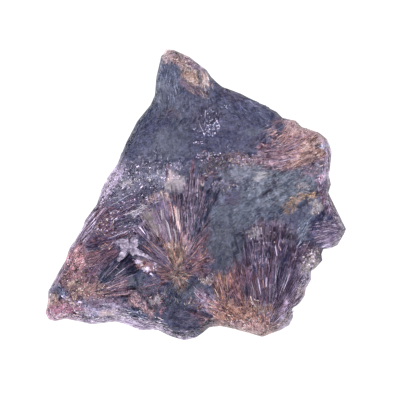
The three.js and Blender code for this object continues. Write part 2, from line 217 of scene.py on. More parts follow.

# name: bevel of the upper rim, set back of the lower rim, height of the widest line, how strongly a
# painted glow of light lightens the rim, corners clockwise
edges = {
    "topCorner": (1.2, 3, 0.5, 0.15, (
        (-9.6, 38.6), (-8.2, 40.6), (-6.2, 40.5), (-1.8, 38.6), (3.2, 34.7), (4.4, 32.8))),
    "upperRight": (0.9, 4, 0.35, 0.08, (
        (7.4, 30.2), (12.5, 28.2), (17.5, 25.8), (22.5, 23.2), (24.2, 21.5), (27.9, 20.7), (29.5, 19),
        (34.3, 17.4))),
    "shoulder": (1.4, 3.5, 0.4, 0.5, (
        (36.8, 15.4), (37.9, 12), (37.4, 7.6), (37.1, 5.4), (37.7, 3), (37, 0.6))),
    "rightNose": (1.8, 5, 0.45, 0.45, (
        (38.8, -3.1), (41, -7.6), (41.9, -9.5), (41, -11.5), (39.6, -14), (37.7, -14.9), (35.6, -15.1))),
    "lowerRight": (2, 3, 0.5, 0.35, (
        (35.1, -16.5), (35.4, -18.2), (33.7, -20.2), (32.3, -21.3), (32.3, -23.5), (30.7, -26), (30.4, -28),
        (29, -30.2), (27, -31.6))),
    "lowChip": (2.6, 2, 0.7, 0.2, ((27.3, -34.2), (26.2, -36.4), (23.7, -37.8))),
    "fanRoot": (1.4, 3, 0.5, 0.1, ((18.6, -39.6), (13.9, -38.2), (9.4, -37), (6.7, -36.5))),
    "bottomBlock": (2.6, 2.5, 0.6, 0.45, (
        (3.8, -37), (2.1, -38.4), (0.1, -39.8), (-3.2, -40.6), (-7.1, -39.4))),
    "bottomBevel": (4.4, 2, 0.65, 0.7, (
        (-10.5, -37.7), (-15.6, -37.7), (-18.7, -36.4), (-21.9, -35.4), (-29.2, -36.1), (-31.8, -35.4),
        (-36.3, -34.6))),
    "leftCorner": (1.4, 3, 0.5, 0.3, (
        (-39.4, -35.3), (-41, -34.7), (-41.9, -33), (-41.3, -30.2), (-41.1, -26.8))),
    "left": (1.6, 3.5, 0.45, 0.5, (
        (-38.5, -22.1), (-36.3, -18.3), (-34.9, -14.3), (-32.3, -11.5), (-30.7, -7), (-27.6, -2.8),
        (-26.2, 1.4), (-24.5, 4.8), (-21.7, 8.7))),
    "upperLeft": (1.6, 4, 0.4, 0.08, (
        (-19.2, 14.8), (-16.1, 20.7), (-12.5, 25.2), (-11.3, 28), (-10.9, 32.8))),
}

slopes = [  # the face falls away past each line: x, y, downhill heading, fall
    (-2, 12, 100, 0.16), (-20, -2, 160, 0.32), (24, 8, 20, 0.14), (30, -8, -25, 0.26),
    (-26, -25, 215, 0.28), (-2, -29, 268, 0.3), (20, -36, -80, 0.25),
]
ledges = [  # broken steps: x, y, heading, half length, height of the step, run over which it heals
    (19.6, 0.5, 28, 7, 0.9, 7), (29.3, -1.4, 26, 7, 1.4, 6), (-1.5, 9.8, 5, 22, 1.2, 9),
    (1.3, -33, -20, 7, 1.8, 6), (-0.1, -37, 2, 6, 1.6, 5), (-10.8, -12.6, 120, 9, -1.4, 6),
    (35.4, -12.6, 3, 7, 1.6, 5), (29.3, -22.4, 72, 10, 2, 6),
]
swells = [  # x, y, half length, half width, heading, height
    (-18, -19.4, 5.5, 3.2, 25, -3.2), (25.8, 2.6, 4, 1.4, 30, -0.8), (1.4, 32.8, 1.3, 3.4, 8, -1.1),
    (19, -24, 9, 12, 0, 0.6), (-5, -14, 11, 11, 0, 0.8),
]


def faceHeight(x, y):
    # a plane, less a soft hinge for each slope, plus half a tanh step for each ledge, a Gaussian
    # for each swell, and two sizes of noise
    height = np.full(np.shape(x), float(slab["faceHeight"]))
    for atX, atY, heading, fall in slopes:
        along, _ = offsets(atX, atY, heading, x, y)
        height -= fall * slab["hinge"] * np.logaddexp(0, along / slab["hinge"])
    for atX, atY, heading, half, step, run in ledges:
        along, across = offsets(atX, atY, heading, x, y)
        reach = np.exp(-(along / half) ** 4 - np.abs(across) / run)
        height += step / 2 * np.tanh(across / slab["stepWidth"]) * reach
    for atX, atY, halfLength, halfWidth, heading, rise in swells:
        along, across = offsets(atX, atY, heading, x, y)
        height += rise * np.exp(-(along / halfLength) ** 2 - (across / halfWidth) ** 2)
    for size, strength in slab["waves"]:
        height += strength * noise(x / size, y / size)
    return height


def edgeTable():
    # the corners anticlockwise, the longest stretch halved until there are as many as the solid has
    rows = [(x, y, bevel, foot, waist, pale) for bevel, foot, waist, pale, corners in edges.values()
            for x, y in corners][::-1]
    while len(rows) < slab["corners"]:
        closed = np.array(rows + rows[:1])
        longest = int(np.argmax(np.hypot(*np.diff(closed[:, :2], axis=0).T)))
        rows.insert(longest + 1, tuple((closed[longest] + closed[longest + 1]) / 2))
    return np.array(rows)


edgeRows = edgeTable()
closedEdge = np.vstack([edgeRows, edgeRows[:1]])
edgeSteps = np.arange(len(closedEdge))


def edgeAt(turn):
    # the edge at a turn from 0 to 4 round the grid's square: x, y, bevel, foot, waist
    place = np.mod(turn * slab["corners"] / 4 + slab["startCorner"], slab["corners"])
    return [np.interp(place, edgeSteps, closedEdge[:, column]) for column in range(5)]


def fromHub(x, y, share):
    # each point's place scaled about the hub
    hubX, hubY = slab["hub"]
    return hubX + (x - hubX) * share, hubY + (y - hubY) * share


def outlineAt(x, y):
    # the widest line seen from the hub, by interpolating over its angle: how far out each point is as a
    # share of the way to it, then the line's distance, bevel, waist and painted rim glow in that direction
    hubX, hubY = slab["hub"]
    place = np.linspace(0, len(edgeRows), 8 * len(edgeRows) + 1)[:-1]
    fine = np.array([np.interp(place, edgeSteps, column) for column in closedEdge.T])
    turns = np.arctan2(fine[1] - hubY, fine[0] - hubX)
    order = np.argsort(turns)
    reaches = np.hypot(fine[0] - hubX, fine[1] - hubY)
    turn = np.arctan2(y - hubY, x - hubX)
    reach, bevel, waist, pale = [np.interp(turn, turns[order], values[order], period=2 * math.pi)
                                 for values in (reaches, fine[2], fine[4], fine[5])]
    return np.hypot(x - hubX, y - hubY) / reach, reach, bevel, waist, pale


def ringShare(x, y):
    # how far out each point is, as a share of the way from the hub to the widest line
    return outlineAt(x, y)[0]


def setBack(x, y, inset):
    # each point moved towards the hub by its inset in mm
    hubX, hubY = slab["hub"]
    reach = np.maximum(np.hypot(x - hubX, y - hubY), 1e-3)
    return fromHub(x, y, (reach - inset) / reach)


def topHeight(x, y):
    # the face, and past its rim the upper flank, which falls from the rim to the widest line
    share, reach, bevel, waist, _ = outlineAt(x, y)
    inset = np.clip(reach * (1 - share), 0, None)
    above = np.clip(inset / bevel, 0, 1) ** (1 / slab["rimCurve"])
    pull = np.where(inset < bevel, (reach - bevel) / np.maximum(reach * share, 1e-6), 1)
    rim = faceHeight(*fromHub(x, y, pull))
    down = waist * (1 - above)
    return rim * (1 - down) + slab["footHeight"] * down


# How a broken surface lies: spread of its strands about their heading in degrees, their length and
# width in mm, how strongly their colours differ, and how far they stand up in mm
weaves = {
    "felt": (45, 1, 0.31, 0.72, 0.12),
    "smooth": (45, 1.1, 0.32, 0.33, 0.05),
    "combed": (18, 1.6, 0.27, 0.7, 0.14),
    "slabby": (14, 1.4, 0.29, 1.5, 0.2),
    "hair": (12, 2.4, 0.24, 0.8, 0.12),
    "crumbs": (75, 0.7, 0.34, 1.5, 0.32),
    "sugar": (90, 0.7, 0.36, 0.95, 0.2),
    "splinters": (32, 1.1, 0.32, 1.4, 0.34),
    "fibres": (10, 2.2, 0.3, 1.3, 0.3),
    "needles": (4, 3.8, 0.26, 1, 0.3),
    "cleaved": (3, 5, 0.42, 0.55, 0.16),
    "plates": (3, 3.2, 0.85, 0.6, 0.14),
}

# Patches of mineral on the face, laid over one another in this order. The lie of the strands is a
# heading in degrees, or the point that they spread from.
patches = [
    # name, minerals from common to rare, (x, y, half length, half width, heading), lie, weave
    ("ground rock", "slate indigo violet", (0, 0, 999, 999, 0), 40, "felt"),
    # the slate of the upper half
    ("upper right", "slate violet steel indigo", (14, 23, 14, 6, -30), -28, "combed"),
    ("upper left", "greySlate slate indigo", (-10.5, 18, 11, 8, 60), 50, "combed"),
    ("top corner", "greySlate frost steel slate", (-7.5, 30, 7.5, 3.5, 95), 98, "hair"),
    ("pale hair on left edge", "bluePlate greySlate slate", (-9.5, 28, 4, 1.5, 95), 105, "hair"),
    ("brown seam", "umber violet slate", (-7.5, 22, 3, 1.2, 25), 25, "combed"),
    ("dark lens", "violet slate indigo", (-11, 19.5, 5, 1.5, 28), 28, "combed"),
    ("smooth lens", "greySlate smoothSlate slate", (-6.5, 14.5, 6.5, 4, 8), 45, "smooth"),
    ("left shoulder slate", "slate greySlate indigo", (-16, 12, 6, 3.5, 62), 60, "felt"),
    ("violet middle", "violet indigo", (11, 18, 9, 4.5, -10), -20, "felt"),
    ("violet top", "indigo violet", (10, 27, 5, 1.5, -28), -28, "combed"),
    ("green lens", "smoothSlate greySlate", (16, 17.8, 3, 1, 12), 15, "smooth"),
    ("under white specks", "indigo hollow violet", (3, 19.8, 5.5, 3.5, 70), 70, "combed"),
    ("indigo wedge", "indigo violet", (17, 15, 3.5, 1, 35), 35, "combed"),
    ("dark above seam", "slate indigo violet", (3, 13, 7, 2, 0), 0, "felt"),
    ("navy above seam", "violet indigo", (6.5, 15, 6.5, 3, -12), -20, "felt"),
    ("crumbs over seam", "hollow olive speckled umber maroon cream", (5, 9, 4.5, 2.4, 10), 70, "crumbs"),
    # the plate on the right
    ("tail of shoulder", "rubble olive maroon tan milky", (15, 9.5, 6.5, 2, -3), 20, "crumbs"),
    ("pale streaks", "bluePlate tealSlate rubble frost", (14, 6, 8, 2, 5), 8, "combed"),
    ("plate", "bluePlate tealSlate smoothSlate", (21, 0, 15.5, 5.5, 23), 24, "slabby"),
    ("plate toe", "tealSlate bluePlate slate", (11, -5, 7.5, 4.5, 25), 27, "combed"),
    ("green glow", "paleGreen bluePlate", (18.5, 4.8, 2, 0.6, 10), 12, "combed"),
    ("violet on plate", "violet mauve", (9.5, -1, 2.2, 1.4, 20), 20, "combed"),
    ("dark block", "darkBlock slate", (8.5, -13.5, 7.5, 6, -70), 35, "felt"),
    ("plate toe right", "tealSlate violet indigo", (20, -5.5, 5.5, 2.5, 10), 25, "combed"),
    ("wedge by star", "slate darkBlock mauve indigo", (5, -0.5, 7, 1.3, 62), 62, "hair"),
    ("plate crumbs", "speckled indigo olive rubble white", (8, 2.5, 3.5, 2.2, 20), 40, "crumbs"),
    ("first pit", "indigo umber", (20, 0.6, 2, 0.5, 30), 30, "combed"),
    ("second pit", "indigo umber", (21.3, 3, 1.2, 0.4, 30), 30, "combed"),
    ("ochre flow", "ochre bluePlate olive golden indigo", (26.6, -2.4, 2.8, 1.4, 62), 55, "splinters"),
    ("ochre arm", "ochre olive cream bluePlate", (29.3, -0.4, 3.2, 0.8, 14), 16, "splinters"),
    ("ochre lip", "golden ochre cream rust", (32.8, 0.4, 1.9, 0.9, 24), 24, "splinters"),
    ("cream over ochre", "bluePlate cream rosy", (30.2, 2.7, 1.6, 1.1, 30), 30, "splinters"),
    ("cream by nose", "paleGreen umber cream bluePlate", (33, -3.5, 2.2, 1.6, -50), 60, "splinters"),
    ("blue streaks", "bluePlate steel frost indigo", (30, -9, 4.2, 2.3, 60), 60, "fibres"),
    ("indigo by nose", "indigo violet steel", (34.3, -8.5, 3.2, 1.8, 60), 65, "fibres"),
    ("mauve neck", "mauve maroon plum", (36.2, -2, 3, 1.4, 100), 96, "fibres"),
    ("nose back", "mauve white plum rosy", (38.6, -5, 4.2, 1.5, -60), -62, "splinters"),
    ("nose", "plum mauve white indigo milky", (38, -10, 4.5, 3, 0), 12, "fibres"),
    ("nose lines", "milky plum mauve", (37.8, -12.2, 4, 1.2, 6), 8, "needles"),
    ("nose foot", "white indigo frost", (37.3, -14.3, 2, 0.9, 10), 10, "splinters"),
    # between the plate and the lower right fan
    ("broken step", "rubble umber slate tan", (20.5, -10.5, 6.5, 3.2, 5), 85, "crumbs"),
    ("cream on step", "cream rubble", (20.5, -11.5, 1.2, 1, 0), 80, "sugar"),
    ("grey on step", "paleGreen rubble", (16, -11, 1.2, 2, 100), 90, "splinters"),
    ("pink lath", "salmon white mauve", (22.9, -15, 2.2, 0.6, -80), -80, "fibres"),
    ("right of fan", "maroon plum milky rubble", (29.5, -16, 4, 2.2, 5), 20, "splinters"),
    # the shoulder
    ("shoulder", "rosy brown tan mauve", (30, 14.5, 9, 5, -24), 28, "fibres"),
    ("shoulder top", "tan rosy brown mauve", (27.5, 18.8, 3.5, 2.4, -30), 62, "fibres"),
    ("shoulder foot", "rosy mauve maroon milky", (24, 9.6, 7, 2.7, 0), 12, "fibres"),
    ("shoulder glow", "tan golden rosy", (32.3, 13.5, 2.8, 2.6, 0), 28, "fibres"),
    ("gold strands", "tan golden rosy maroon", (29.5, 9.8, 4.5, 1.4, 25), 25, "needles"),
    ("pale shoulder lines", "rosy mauve tan milky", (26.5, 14.3, 3.5, 1.6, 30), 30, "needles"),
    ("dark notch", "indigo violet steel", (23.3, 18.8, 2, 1.3, 30), 35, "combed"),
    ("maroon knot", "maroon mauve rosy indigo", (19.5, 13.5, 2.6, 1.2, 25), 30, "splinters"),
    ("rose edge", "rosy white mauve", (26.5, 21, 3, 0.8, -28), -28, "splinters"),
    ("shoulder rim", "white mauve tan", (37, 12, 4.2, 1.2, 95), 80, "splinters"),
    ("white-blue eye", "frost steel white", (35.4, 13.5, 1, 0.9, 0), 0, "crumbs"),
    ("shoulder rim below", "mauve white plum", (36.6, 6.5, 3.4, 1.2, 90), 70, "splinters"),
    ("below shoulder", "mauve bluePlate rosy maroon", (32.5, 7.2, 4, 1.4, 28), 28, "splinters"),
    ("cherry", "white cherry salmon", (35, 4.8, 2.2, 1.3, 35), 40, "crumbs"),
    ("under cherry", "mauve slate white", (35.6, 1.7, 2, 1.3, 0), 60, "splinters"),
    # the speckled band on the left
    ("speckled band", "speckled greySlate paleGreen indigo white", (-16, 3.5, 9, 5.5, 28), 45, "crumbs"),
    ("dark in band", "indigo greySlate speckled", (-15.5, 0.2, 4, 1, 24), 28, "crumbs"),
    ("pale in band", "paleGreen milky speckled", (-19, 3.2, 2.6, 1.1, 30), 35, "crumbs"),
    ("pale left edge", "milky speckled mauve white", (-24.3, 2.5, 7.5, 1.9, 62), 62, "crumbs"),
    ("white blot", "frost paleGreen white speckled", (-10.7, 6, 2, 1.1, 30), 30, "crumbs"),
    ("white-blue crumbs", "speckled slate frost indigo", (-5, 8, 3, 1.4, 8), 10, "crumbs"),
    ("red streak", "maroon plum", (-8.4, 7.5, 2.2, 0.45, 98), 98, "fibres"),
    ("second red streak", "mauve maroon plum", (-1.3, 6.5, 3.5, 0.4, 90), 91, "fibres"),
    ("pale grain", "greyGrain milky greyGrain cream", (-5.5, 3.4, 3.2, 2.5, -20), 0, "smooth"),
    ("pale grain cap", "cream white", (-6.9, 5, 1.2, 0.7, 5), 0, "sugar"),
    ("cream plume top", "cream tan olive mauve", (-8.2, -0.2, 2, 1.3, -40), -60, "crumbs"),
    ("tan left of grain", "tan speckled rosy white", (-11.8, -1, 2, 1.2, 20), 45, "crumbs"),
    ("white left of grain", "white cream", (-10.2, -1, 0.9, 0.8, -40), 0, "sugar"),
    ("right of grain", "mauve cream speckled rosy", (-1.8, 2.6, 1.2, 2.2, 0), 85, "fibres"),
    ("streak right of grain", "cream maroon milky", (1.2, 2.6, 2, 0.9, 75), 75, "splinters"),
    ("maroon bowl", "plum maroon cream rosy", (3.6, 5.2, 2.8, 1.3, 10), 15, "splinters"),
    # the laths of the left middle
    ("laths", "indigo plum maroon speckled mauve milky", (-19.5, -7.5, 8.5, 5, 25), 28, "fibres"),
    ("slate laths", "indigo speckled steel milky", (-17, -7.3, 3.5, 1.6, 20), 25, "splinters"),
    ("dark lath", "plum indigo maroon", (-18.5, -2.4, 3, 1, 28), 28, "combed"),
    ("greenish laths", "paleGreen milky indigo", (-16, -4.5, 3, 1, 25), 26, "splinters"),
    ("hatched laths", "mauve indigo milky", (-14.5, -10, 2.4, 2, 130), 128, "fibres"),
    ("left columns", "plum white maroon mauve indigo", (-29, -7.8, 6.5, 2.3, 54), 52, "needles"),
    ("columns rim", "white mauve milky", (-31.4, -8.5, 7.5, 1.1, 60), 60, "needles"),
    ("orange and maroon", "maroon indigo tan olive rust", (-25.3, -9, 4, 2.4, 70), 60, "crumbs"),
    ("dark by crust", "maroon indigo plum", (-26.5, -13, 4, 1.8, 10), 14, "fibres"),
    ("orange streak", "rust cream maroon", (-25, -14.3, 2, 0.7, 12), 12, "splinters"),
    # the left corner
    ("left lavender edge", "mauve white brown", (-36.4, -18.5, 5.5, 1.2, 62), 60, "crumbs"),
    ("plum", "plum cleavage", (-25.8, -19.3, 3, 2, 50), 50, "cleaved"),
    ("maroon under plum", "maroon plum brown", (-29, -22.5, 3.5, 2.5, 50), 50, "crumbs"),
    ("plum lines", "maroon rosy mauve", (-28.3, -17.7, 3, 1.8, 12), 12, "needles"),
    ("left brown", "maroon olive brown plum golden", (-34, -22.5, 4.8, 3.4, 40), 40, "crumbs"),
    ("left pink", "salmon rosy tan rosy", (-32.8, -17.7, 4, 2.1, 78), 70, "splinters"),
    ("left glint", "cream olive brown", (-33.4, -24.2, 1.7, 1.4, 0), (-33.4, -24.2), "splinters"),
    ("left gold brown", "brown golden olive tan maroon", (-28.5, -26.6, 5.8, 2.6, 10), (-35, -28.5),
     "crumbs"),
    ("hollow", "hollow indigo plum", (-18.9, -18.4, 3.4, 1.5, 35), (-29, -27), "needles"),
    ("plum by crust", "maroon mauve plum rosy", (-24, -16.8, 2.8, 1.7, 35), 38, "needles"),
    ("dark blades in hollow", "hollow indigo slate", (-17.6, -20.5, 2.5, 1, 25), (-29, -27), "needles"),
    ("teal hatch", "indigo slate tealSlate mauve plum", (-22.2, -21.3, 3.2, 2.2, 38), (-29, -27), "needles"),
    ("low rays", "mauve rosy plum milky", (-21.6, -24.9, 4, 1.1, 20), (-29, -28), "needles"),
    ("left fan red", "maroon mauve rosy indigo milky", (-20, -26.3, 7, 1.4, 9), 9, "needles"),
    ("green below crust", "darkBlock tealSlate slate", (-16.9, -24, 2.3, 2.1, 0), 20, "felt"),
    ("blue behind crust", "indigo slate steel", (-14.4, -13.8, 2.8, 1.6, -40), -40, "splinters"),
    # the star
    ("star", "mauve plum brown olive indigo", (-6, -12.5, 11, 7, 80), (-5, -22), "needles"),
    ("rust rays", "maroon mauve rosy plum", (0.6, -12.8, 3, 1.9, 62), (-5, -22), "needles"),
    ("sage cleavage", "sage cleavage", (-11.4, -7.4, 3.4, 1.6, 118), (-4, -22), "plates"),
    ("rose cleavage", "cleavage mauve", (-7.8, -10.4, 3.6, 2.2, 112), (-4.5, -22), "plates"),
    ("pale cleavage", "cleavage plum greySlate", (-8.8, -5.4, 2.8, 1.8, 106), (-4.5, -22), "plates"),
    ("rose beside cream blade", "rosy mauve", (-6.5, -4, 1.8, 0.6, 98), 96, "needles"),
    ("upper rays", "mauve greySlate milky plum", (-1.2, -4.5, 8, 2.6, 82), (-4, -28), "needles"),
    ("dark right rays", "slate darkBlock mauve indigo", (2.3, -5.3, 7.3, 1.5, 68), 67, "fibres"),
    ("brown above centre", "rosy mauve brown", (-2.8, -12.3, 3, 1.5, 85), 88, "fibres"),
    ("rose-grey blade", "mauve umber rosy", (-2, -14.4, 2, 1, 62), 62, "cleaved"),
    ("gold above centre", "golden tan cream goldBrown", (-6.7, -15, 2.1, 1.4, 150), (-4.5, -22), "splinters"),
    ("olive stem", "olive golden brown", (-5.2, -18, 3, 1.3, 92), 92, "fibres"),
    ("gold in star", "golden olive brown mauve", (-5.6, -16.8, 4, 2.6, 95), (-5, -22), "fibres"),
    ("plum below plates", "mauve plum brown", (-9, -17.6, 3.2, 1.5, 142), 138, "cleaved"),
    ("right tuft", "maroon brown plum olive", (0.8, -18.8, 4, 3.6, 30), (-5, -22), "splinters"),
    ("left tuft", "maroon brown plum olive", (-8.7, -22, 3, 1.5, 175), (-5, -22), "fibres"),
    ("star core", "olive brown mauve", (-4.8, -22, 2.8, 2.4, 0), (-5, -22), "fibres"),
    ("star lower rays", "olive brown cream darkBlock", (-4.3, -25, 2.2, 2, -70), (-5, -21.5), "fibres"),
    ("pale tuft edge", "olive milky maroon indigo", (3.5, -23.2, 3.5, 1.2, 5), 20, "crumbs"),
    ("dark left of centre", "indigo maroon", (-11.5, -22.4, 2.4, 0.6, -25), -25, "fibres"),
    ("bed of white pieces", "brown milky maroon mauve", (-14.2, -19.6, 3.4, 1.3, -25), -25, "crumbs"),
    # the lower middle
    ("lower middle", "hollow maroon plum darkBlock brown", (-13, -29, 6.5, 3.6, -22), 60, "crumbs"),
    ("pink lump", "rosy tan maroon hollow", (-15.5, -29.4, 2.8, 1.5, -50), 40, "crumbs"),
    ("pink lump foot", "rosy tan maroon", (-13, -31.9, 2.2, 1, -55), 0, "crumbs"),
    ("grey grain", "greyGrain mauve indigo", (-11, -28.6, 1.6, 1.1, 80), 80, "sugar"),
    ("small rose grain", "salmon mauve indigo", (-9.5, -31.6, 1.3, 0.8, 70), 80, "crumbs"),
    ("streaks", "darkBlock indigo greySlate paleGreen hollow", (-5.5, -29.5, 4.5, 3.3, 85), 85, "splinters"),
    ("green pocket", "darkBlock tealSlate slate", (0.3, -26.2, 2.7, 1.8, 10), 10, "felt"),
    ("dark with gold", "indigo golden maroon olive", (-0.3, -30, 2.6, 1.8, -35), -35, "crumbs"),
    ("lavender hatch", "milky maroon mauve indigo", (3.1, -28.8, 3.2, 1.9, -50), -50, "fibres"),
    ("bottom block", "indigo darkBlock violet slate", (-2, -34, 6.2, 2.8, -10), -10, "combed"),
    ("brown on block", "maroon mauve indigo brown", (1.2, -34.2, 3.4, 1.1, -15), -15, "splinters"),
    ("block foot", "white mauve slate cream", (-3.2, -39.2, 6, 1.5, 6), 10, "splinters"),
    # the bevel along the bottom and the left tip
    ("grey bevel", "milky paleGreen greySlate frost rubble", (-24.5, -32.4, 8, 2, -6), -8, "slabby"),
    ("bevel top", "mauve indigo rosy maroon milky", (-23.5, -29.5, 6, 1, -4), -6, "crumbs"),
    ("pale bevel", "milky white frost mauve", (-28.5, -32, 2.8, 1.4, -5), -8, "combed"),
    ("cream bevel", "cream white paleGreen", (-24.3, -32.7, 2.6, 1.1, -5), -8, "combed"),
    ("bevel foot", "white", (-27, -35.6, 8, 1.9, 0), 2, "fibres"),
    ("pale bevel right", "white milky white mauve", (-15, -36.4, 8.5, 2.4, -18), -16, "fibres"),
    ("steel bevel right", "slate steel indigo milky", (-16.8, -32.2, 5, 1, -27), -25, "slabby"),
    ("tip yellow", "ochre tan rust", (-39.8, -29.2, 2.4, 1.9, 60), 60, "crumbs"),
    ("tip blue", "greySlate steel indigo speckled", (-37.4, -27.9, 2.8, 1.4, -55), -50, "splinters"),
    ("tip white", "white cream brown", (-34.7, -29, 2.4, 0.7, -35), -35, "splinters"),
    ("tip rose", "cherry rosy white tan brown", (-37.5, -32.6, 6, 2.4, 4), 10, "crumbs"),
    ("tip brown", "brown maroon tan", (-36.8, -30.4, 2.2, 0.9, 10), 20, "crumbs"),
    ("tip pale foot", "rosy white cherry", (-35, -34.3, 5, 0.8, 0), 4, "splinters"),
    # the lower right fan
    ("fan", "plum mauve indigo maroon", (21.4, -21.6, 11.8, 8.3, 84), (19, -40), "needles"),
    ("mid fan", "maroon plum mauve brown rosy", (15.5, -24.2, 6, 3.8, 88), (17.5, -40), "needles"),
    ("fan top grey", "mauve slate milky", (17.5, -17.5, 3.5, 3, 90), 92, "fibres"),
    ("fan left top", "brown maroon mauve", (11, -25, 5, 2.4, 94), (16, -40), "needles"),
    ("gold tuft", "brown maroon goldBrown olive ochre", (7.4, -25.6, 4, 2, 98), (10.5, -40), "needles"),
    ("below gold tuft", "brown tan mauve rosy", (7, -31.3, 3.8, 2.4, -30), (15, -36), "fibres"),
    ("black wedge", "hollow indigo", (14.6, -27, 1.8, 0.9, 80), (17.5, -38), "fibres"),
    ("dark right rays of fan", "indigo plum", (24, -20.5, 5.5, 1.6, 76), (19, -40), "needles"),
    ("fan root", "goldBrown brown rust tan maroon", (14, -33, 7.8, 3.6, -6), (18.5, -41), "splinters"),
    ("olive root", "olive brown golden", (18.8, -31.8, 2.8, 1.6, 0), (18.5, -40), "fibres"),
    ("purple root", "mauve plum rosy", (19.3, -33.6, 1.6, 1, 0), (18.5, -40), "splinters"),
    ("fan seat", "tan rust salmon cream goldBrown", (17, -37.6, 7.5, 2.8, -8), (18.5, -43), "splinters"),
    ("fan seat left", "tan mauve brown", (8.5, -36, 5.5, 1.8, -14), -16, "crumbs"),
    ("fan low right", "mauve milky rosy", (25, -31.3, 4, 1.6, 48), (19, -38), "needles"),
    ("right flank", "rubble greyGrain maroon cream milky", (32, -18.6, 4.5, 2.8, 62), 60, "crumbs"),
    ("white on flank", "greyGrain cream white", (31.6, -19.6, 2.2, 1.6, 30), 0, "crumbs"),
    ("lavender flank", "milky white steel violet", (30.6, -24, 3, 2.2, 70), 62, "splinters"),
    ("mauve flank", "white milky mauve maroon plum", (28.4, -28.9, 4, 1.9, 50), 48, "fibres"),
    ("pink rim of flank", "rosy cream white", (30.2, -27, 1.8, 1, 80), 60, "crumbs"),
    ("low chip", "milky cream paleGreen", (25.7, -35.2, 3.2, 2, 62), 50, "smooth"),
    # the cap
    ("cap", "tan cream olive maroon golden", (-5, 38.2, 5.2, 2.1, -28), -60, "crumbs"),
    ("cap left edge", "cream tan white", (-9, 38.7, 1.8, 0.8, 75), 80, "crumbs"),
    ("cap red crumbs", "olive maroon tan brown", (-4.4, 37.4, 3.2, 0.8, -35), 20, "crumbs"),
    ("cap top edge", "plum mauve tan", (-4.4, 39.5, 2.6, 0.5, -24), -24, "splinters"),
    ("cap bowl", "cream tan golden greyGrain olive", (-0.8, 32.7, 3.9, 2.6, -48), (-4, 31), "splinters"),
    ("ochre eye", "ochre golden brown", (-1.5, 32.9, 1.5, 1.1, 0), 30, "sugar"),
    ("cap right", "greyGrain tan cream mauve", (2.4, 32.3, 3.2, 1.3, -76), -78, "fibres"),
    ("cap lower lip", "mauve umber tan", (-2.6, 30.4, 2.6, 0.7, -25), -25, "combed"),
    ("cap tail", "umber mauve olive tan", (0.9, 28.6, 2.2, 1, -25), -45, "fibres"),
    ("cap right edge", "mauve tan plum cream", (1, 36, 3.6, 0.9, -42), -42, "splinters"),
]

# Open cracks and dark seams in the face, darkened with painted shade: width and depth in mm, then the points
# they run through
cracks = [
    (0.22, 0.6, ((-14, -6), (-12.7, -8.3), (-11.3, -9.8), (-10.2, -12.4), (-7.8, -17))),
    (0.22, 0.6, ((-7.7, -2.4), (-6.9, -4.6), (-6.1, -6.8), (-5.3, -9.8), (-4.3, -13.5), (-3.9, -15.5))),
    (0.14, 0.3, ((-8.8, -11.8), (-7.4, -12.8), (-5.9, -14))),
    (0.24, 0.6, ((-4.6, -20.5), (-3.4, -17.8), (-1.5, -14.5), (0.2, -12.2), (1.4, -9.8))),
    (0.3, 1, ((0.6, 36), (0.7, 34.5), (1, 33), (1.5, 31))),
    (0.18, 0.4, ((-3.2, 34.6), (-1.4, 35.2), (-0.1, 34), (0.1, 32.4))),
    (0.18, 0.4, ((-3.5, 33.4), (-3, 31.9), (-1.7, 31), (0.4, 30.6))),
    (0.25, 0.9, ((-3, -32), (0, -32.5), (3, -33.5), (5, -35))),
    (0.3, 1, ((-7, -37), (-4.5, -36.7), (-1, -37.2), (2.5, -37.2))),
    (0.22, 0.5, ((9, -3.5), (13, -2.5), (17, -1))),
    (0.3, 1, ((18.6, 0), (20, 0.7), (21.5, 1.2))),
    (0.25, 0.9, ((20.5, 2.6), (22, 3.3))),
    (0.25, 0.9, ((29.5, -1.2), (31, -0.8), (32.2, -1))),
    (0.34, 0.8, ((-18.8, -28.2), (-17.3, -30), (-15.2, -32.2), (-12.5, -34))),
    (0.3, 0.8, ((-15.8, -26.9), (-13.6, -28.4), (-12.6, -30.4), (-12.4, -32.6))),
    (0.26, 0.8, ((-17, -14.4), (-14, -16.4), (-11, -18.2), (-8, -20.2))),
    (0.25, 0.9, ((-13, -21.3), (-11.5, -22), (-9.6, -22.9))),
    (0.22, 0.7, ((-23, -3), (-20, -1), (-16.5, -0.3))),
    (0.24, 0.4, ((-27.2, -23.4), (-25, -20.6), (-23, -18))),
    (0.2, 0.6, ((-23.6, -24.5), (-20, -22.8), (-16.3, -21.2))),
    (0.24, 0.5, ((-25.2, -27.5), (-20.2, -26.5), (-12.7, -25.5))),
    (0.2, 0.6, ((16, 14), (18, 15.4), (20, 17))),
    (0.25, 0.8, ((20.5, -14.5), (20.3, -18.5), (21, -22.5))),
    (0.25, 0.8, ((25, -16), (24, -20), (22.7, -25))),
    (0.3, 1, ((14, -26), (14.5, -27), (15.2, -28.5))),
    (0.2, 0.7, ((34.6, 12.3), (35.6, 12), (36.6, 12.6))),
    (0.2, 0.6, ((5, 5), (4.6, 1.4), (4.1, -2.8), (3, -7))),
]


crackShape = {
    "wander": 0.3,  # how far they leave their lines, mm
    "depth": 0.6,  # shares of the depth above and of full painted shade
    "dark": 0.8,
    "gaps": (-0.5, 0.4),  # they close where noise of this size falls between these levels
    "gapSize": 1.6,
}


def seamDistance(x, y, points):
    # distance in mm from each point to a chain of straight stretches
    nearest = np.full(x.shape, 1e3)
    for (startX, startY), (endX, endY) in zip(points[:-1], points[1:]):
        runX, runY = endX - startX, endY - startY
        share = ((x - startX) * runX + (y - startY) * runY) / (runX * runX + runY * runY)
        share = np.clip(share, 0, 1)
        nearest = np.minimum(nearest, np.hypot(x - startX - share * runX, y - startY - share * runY))
    return nearest


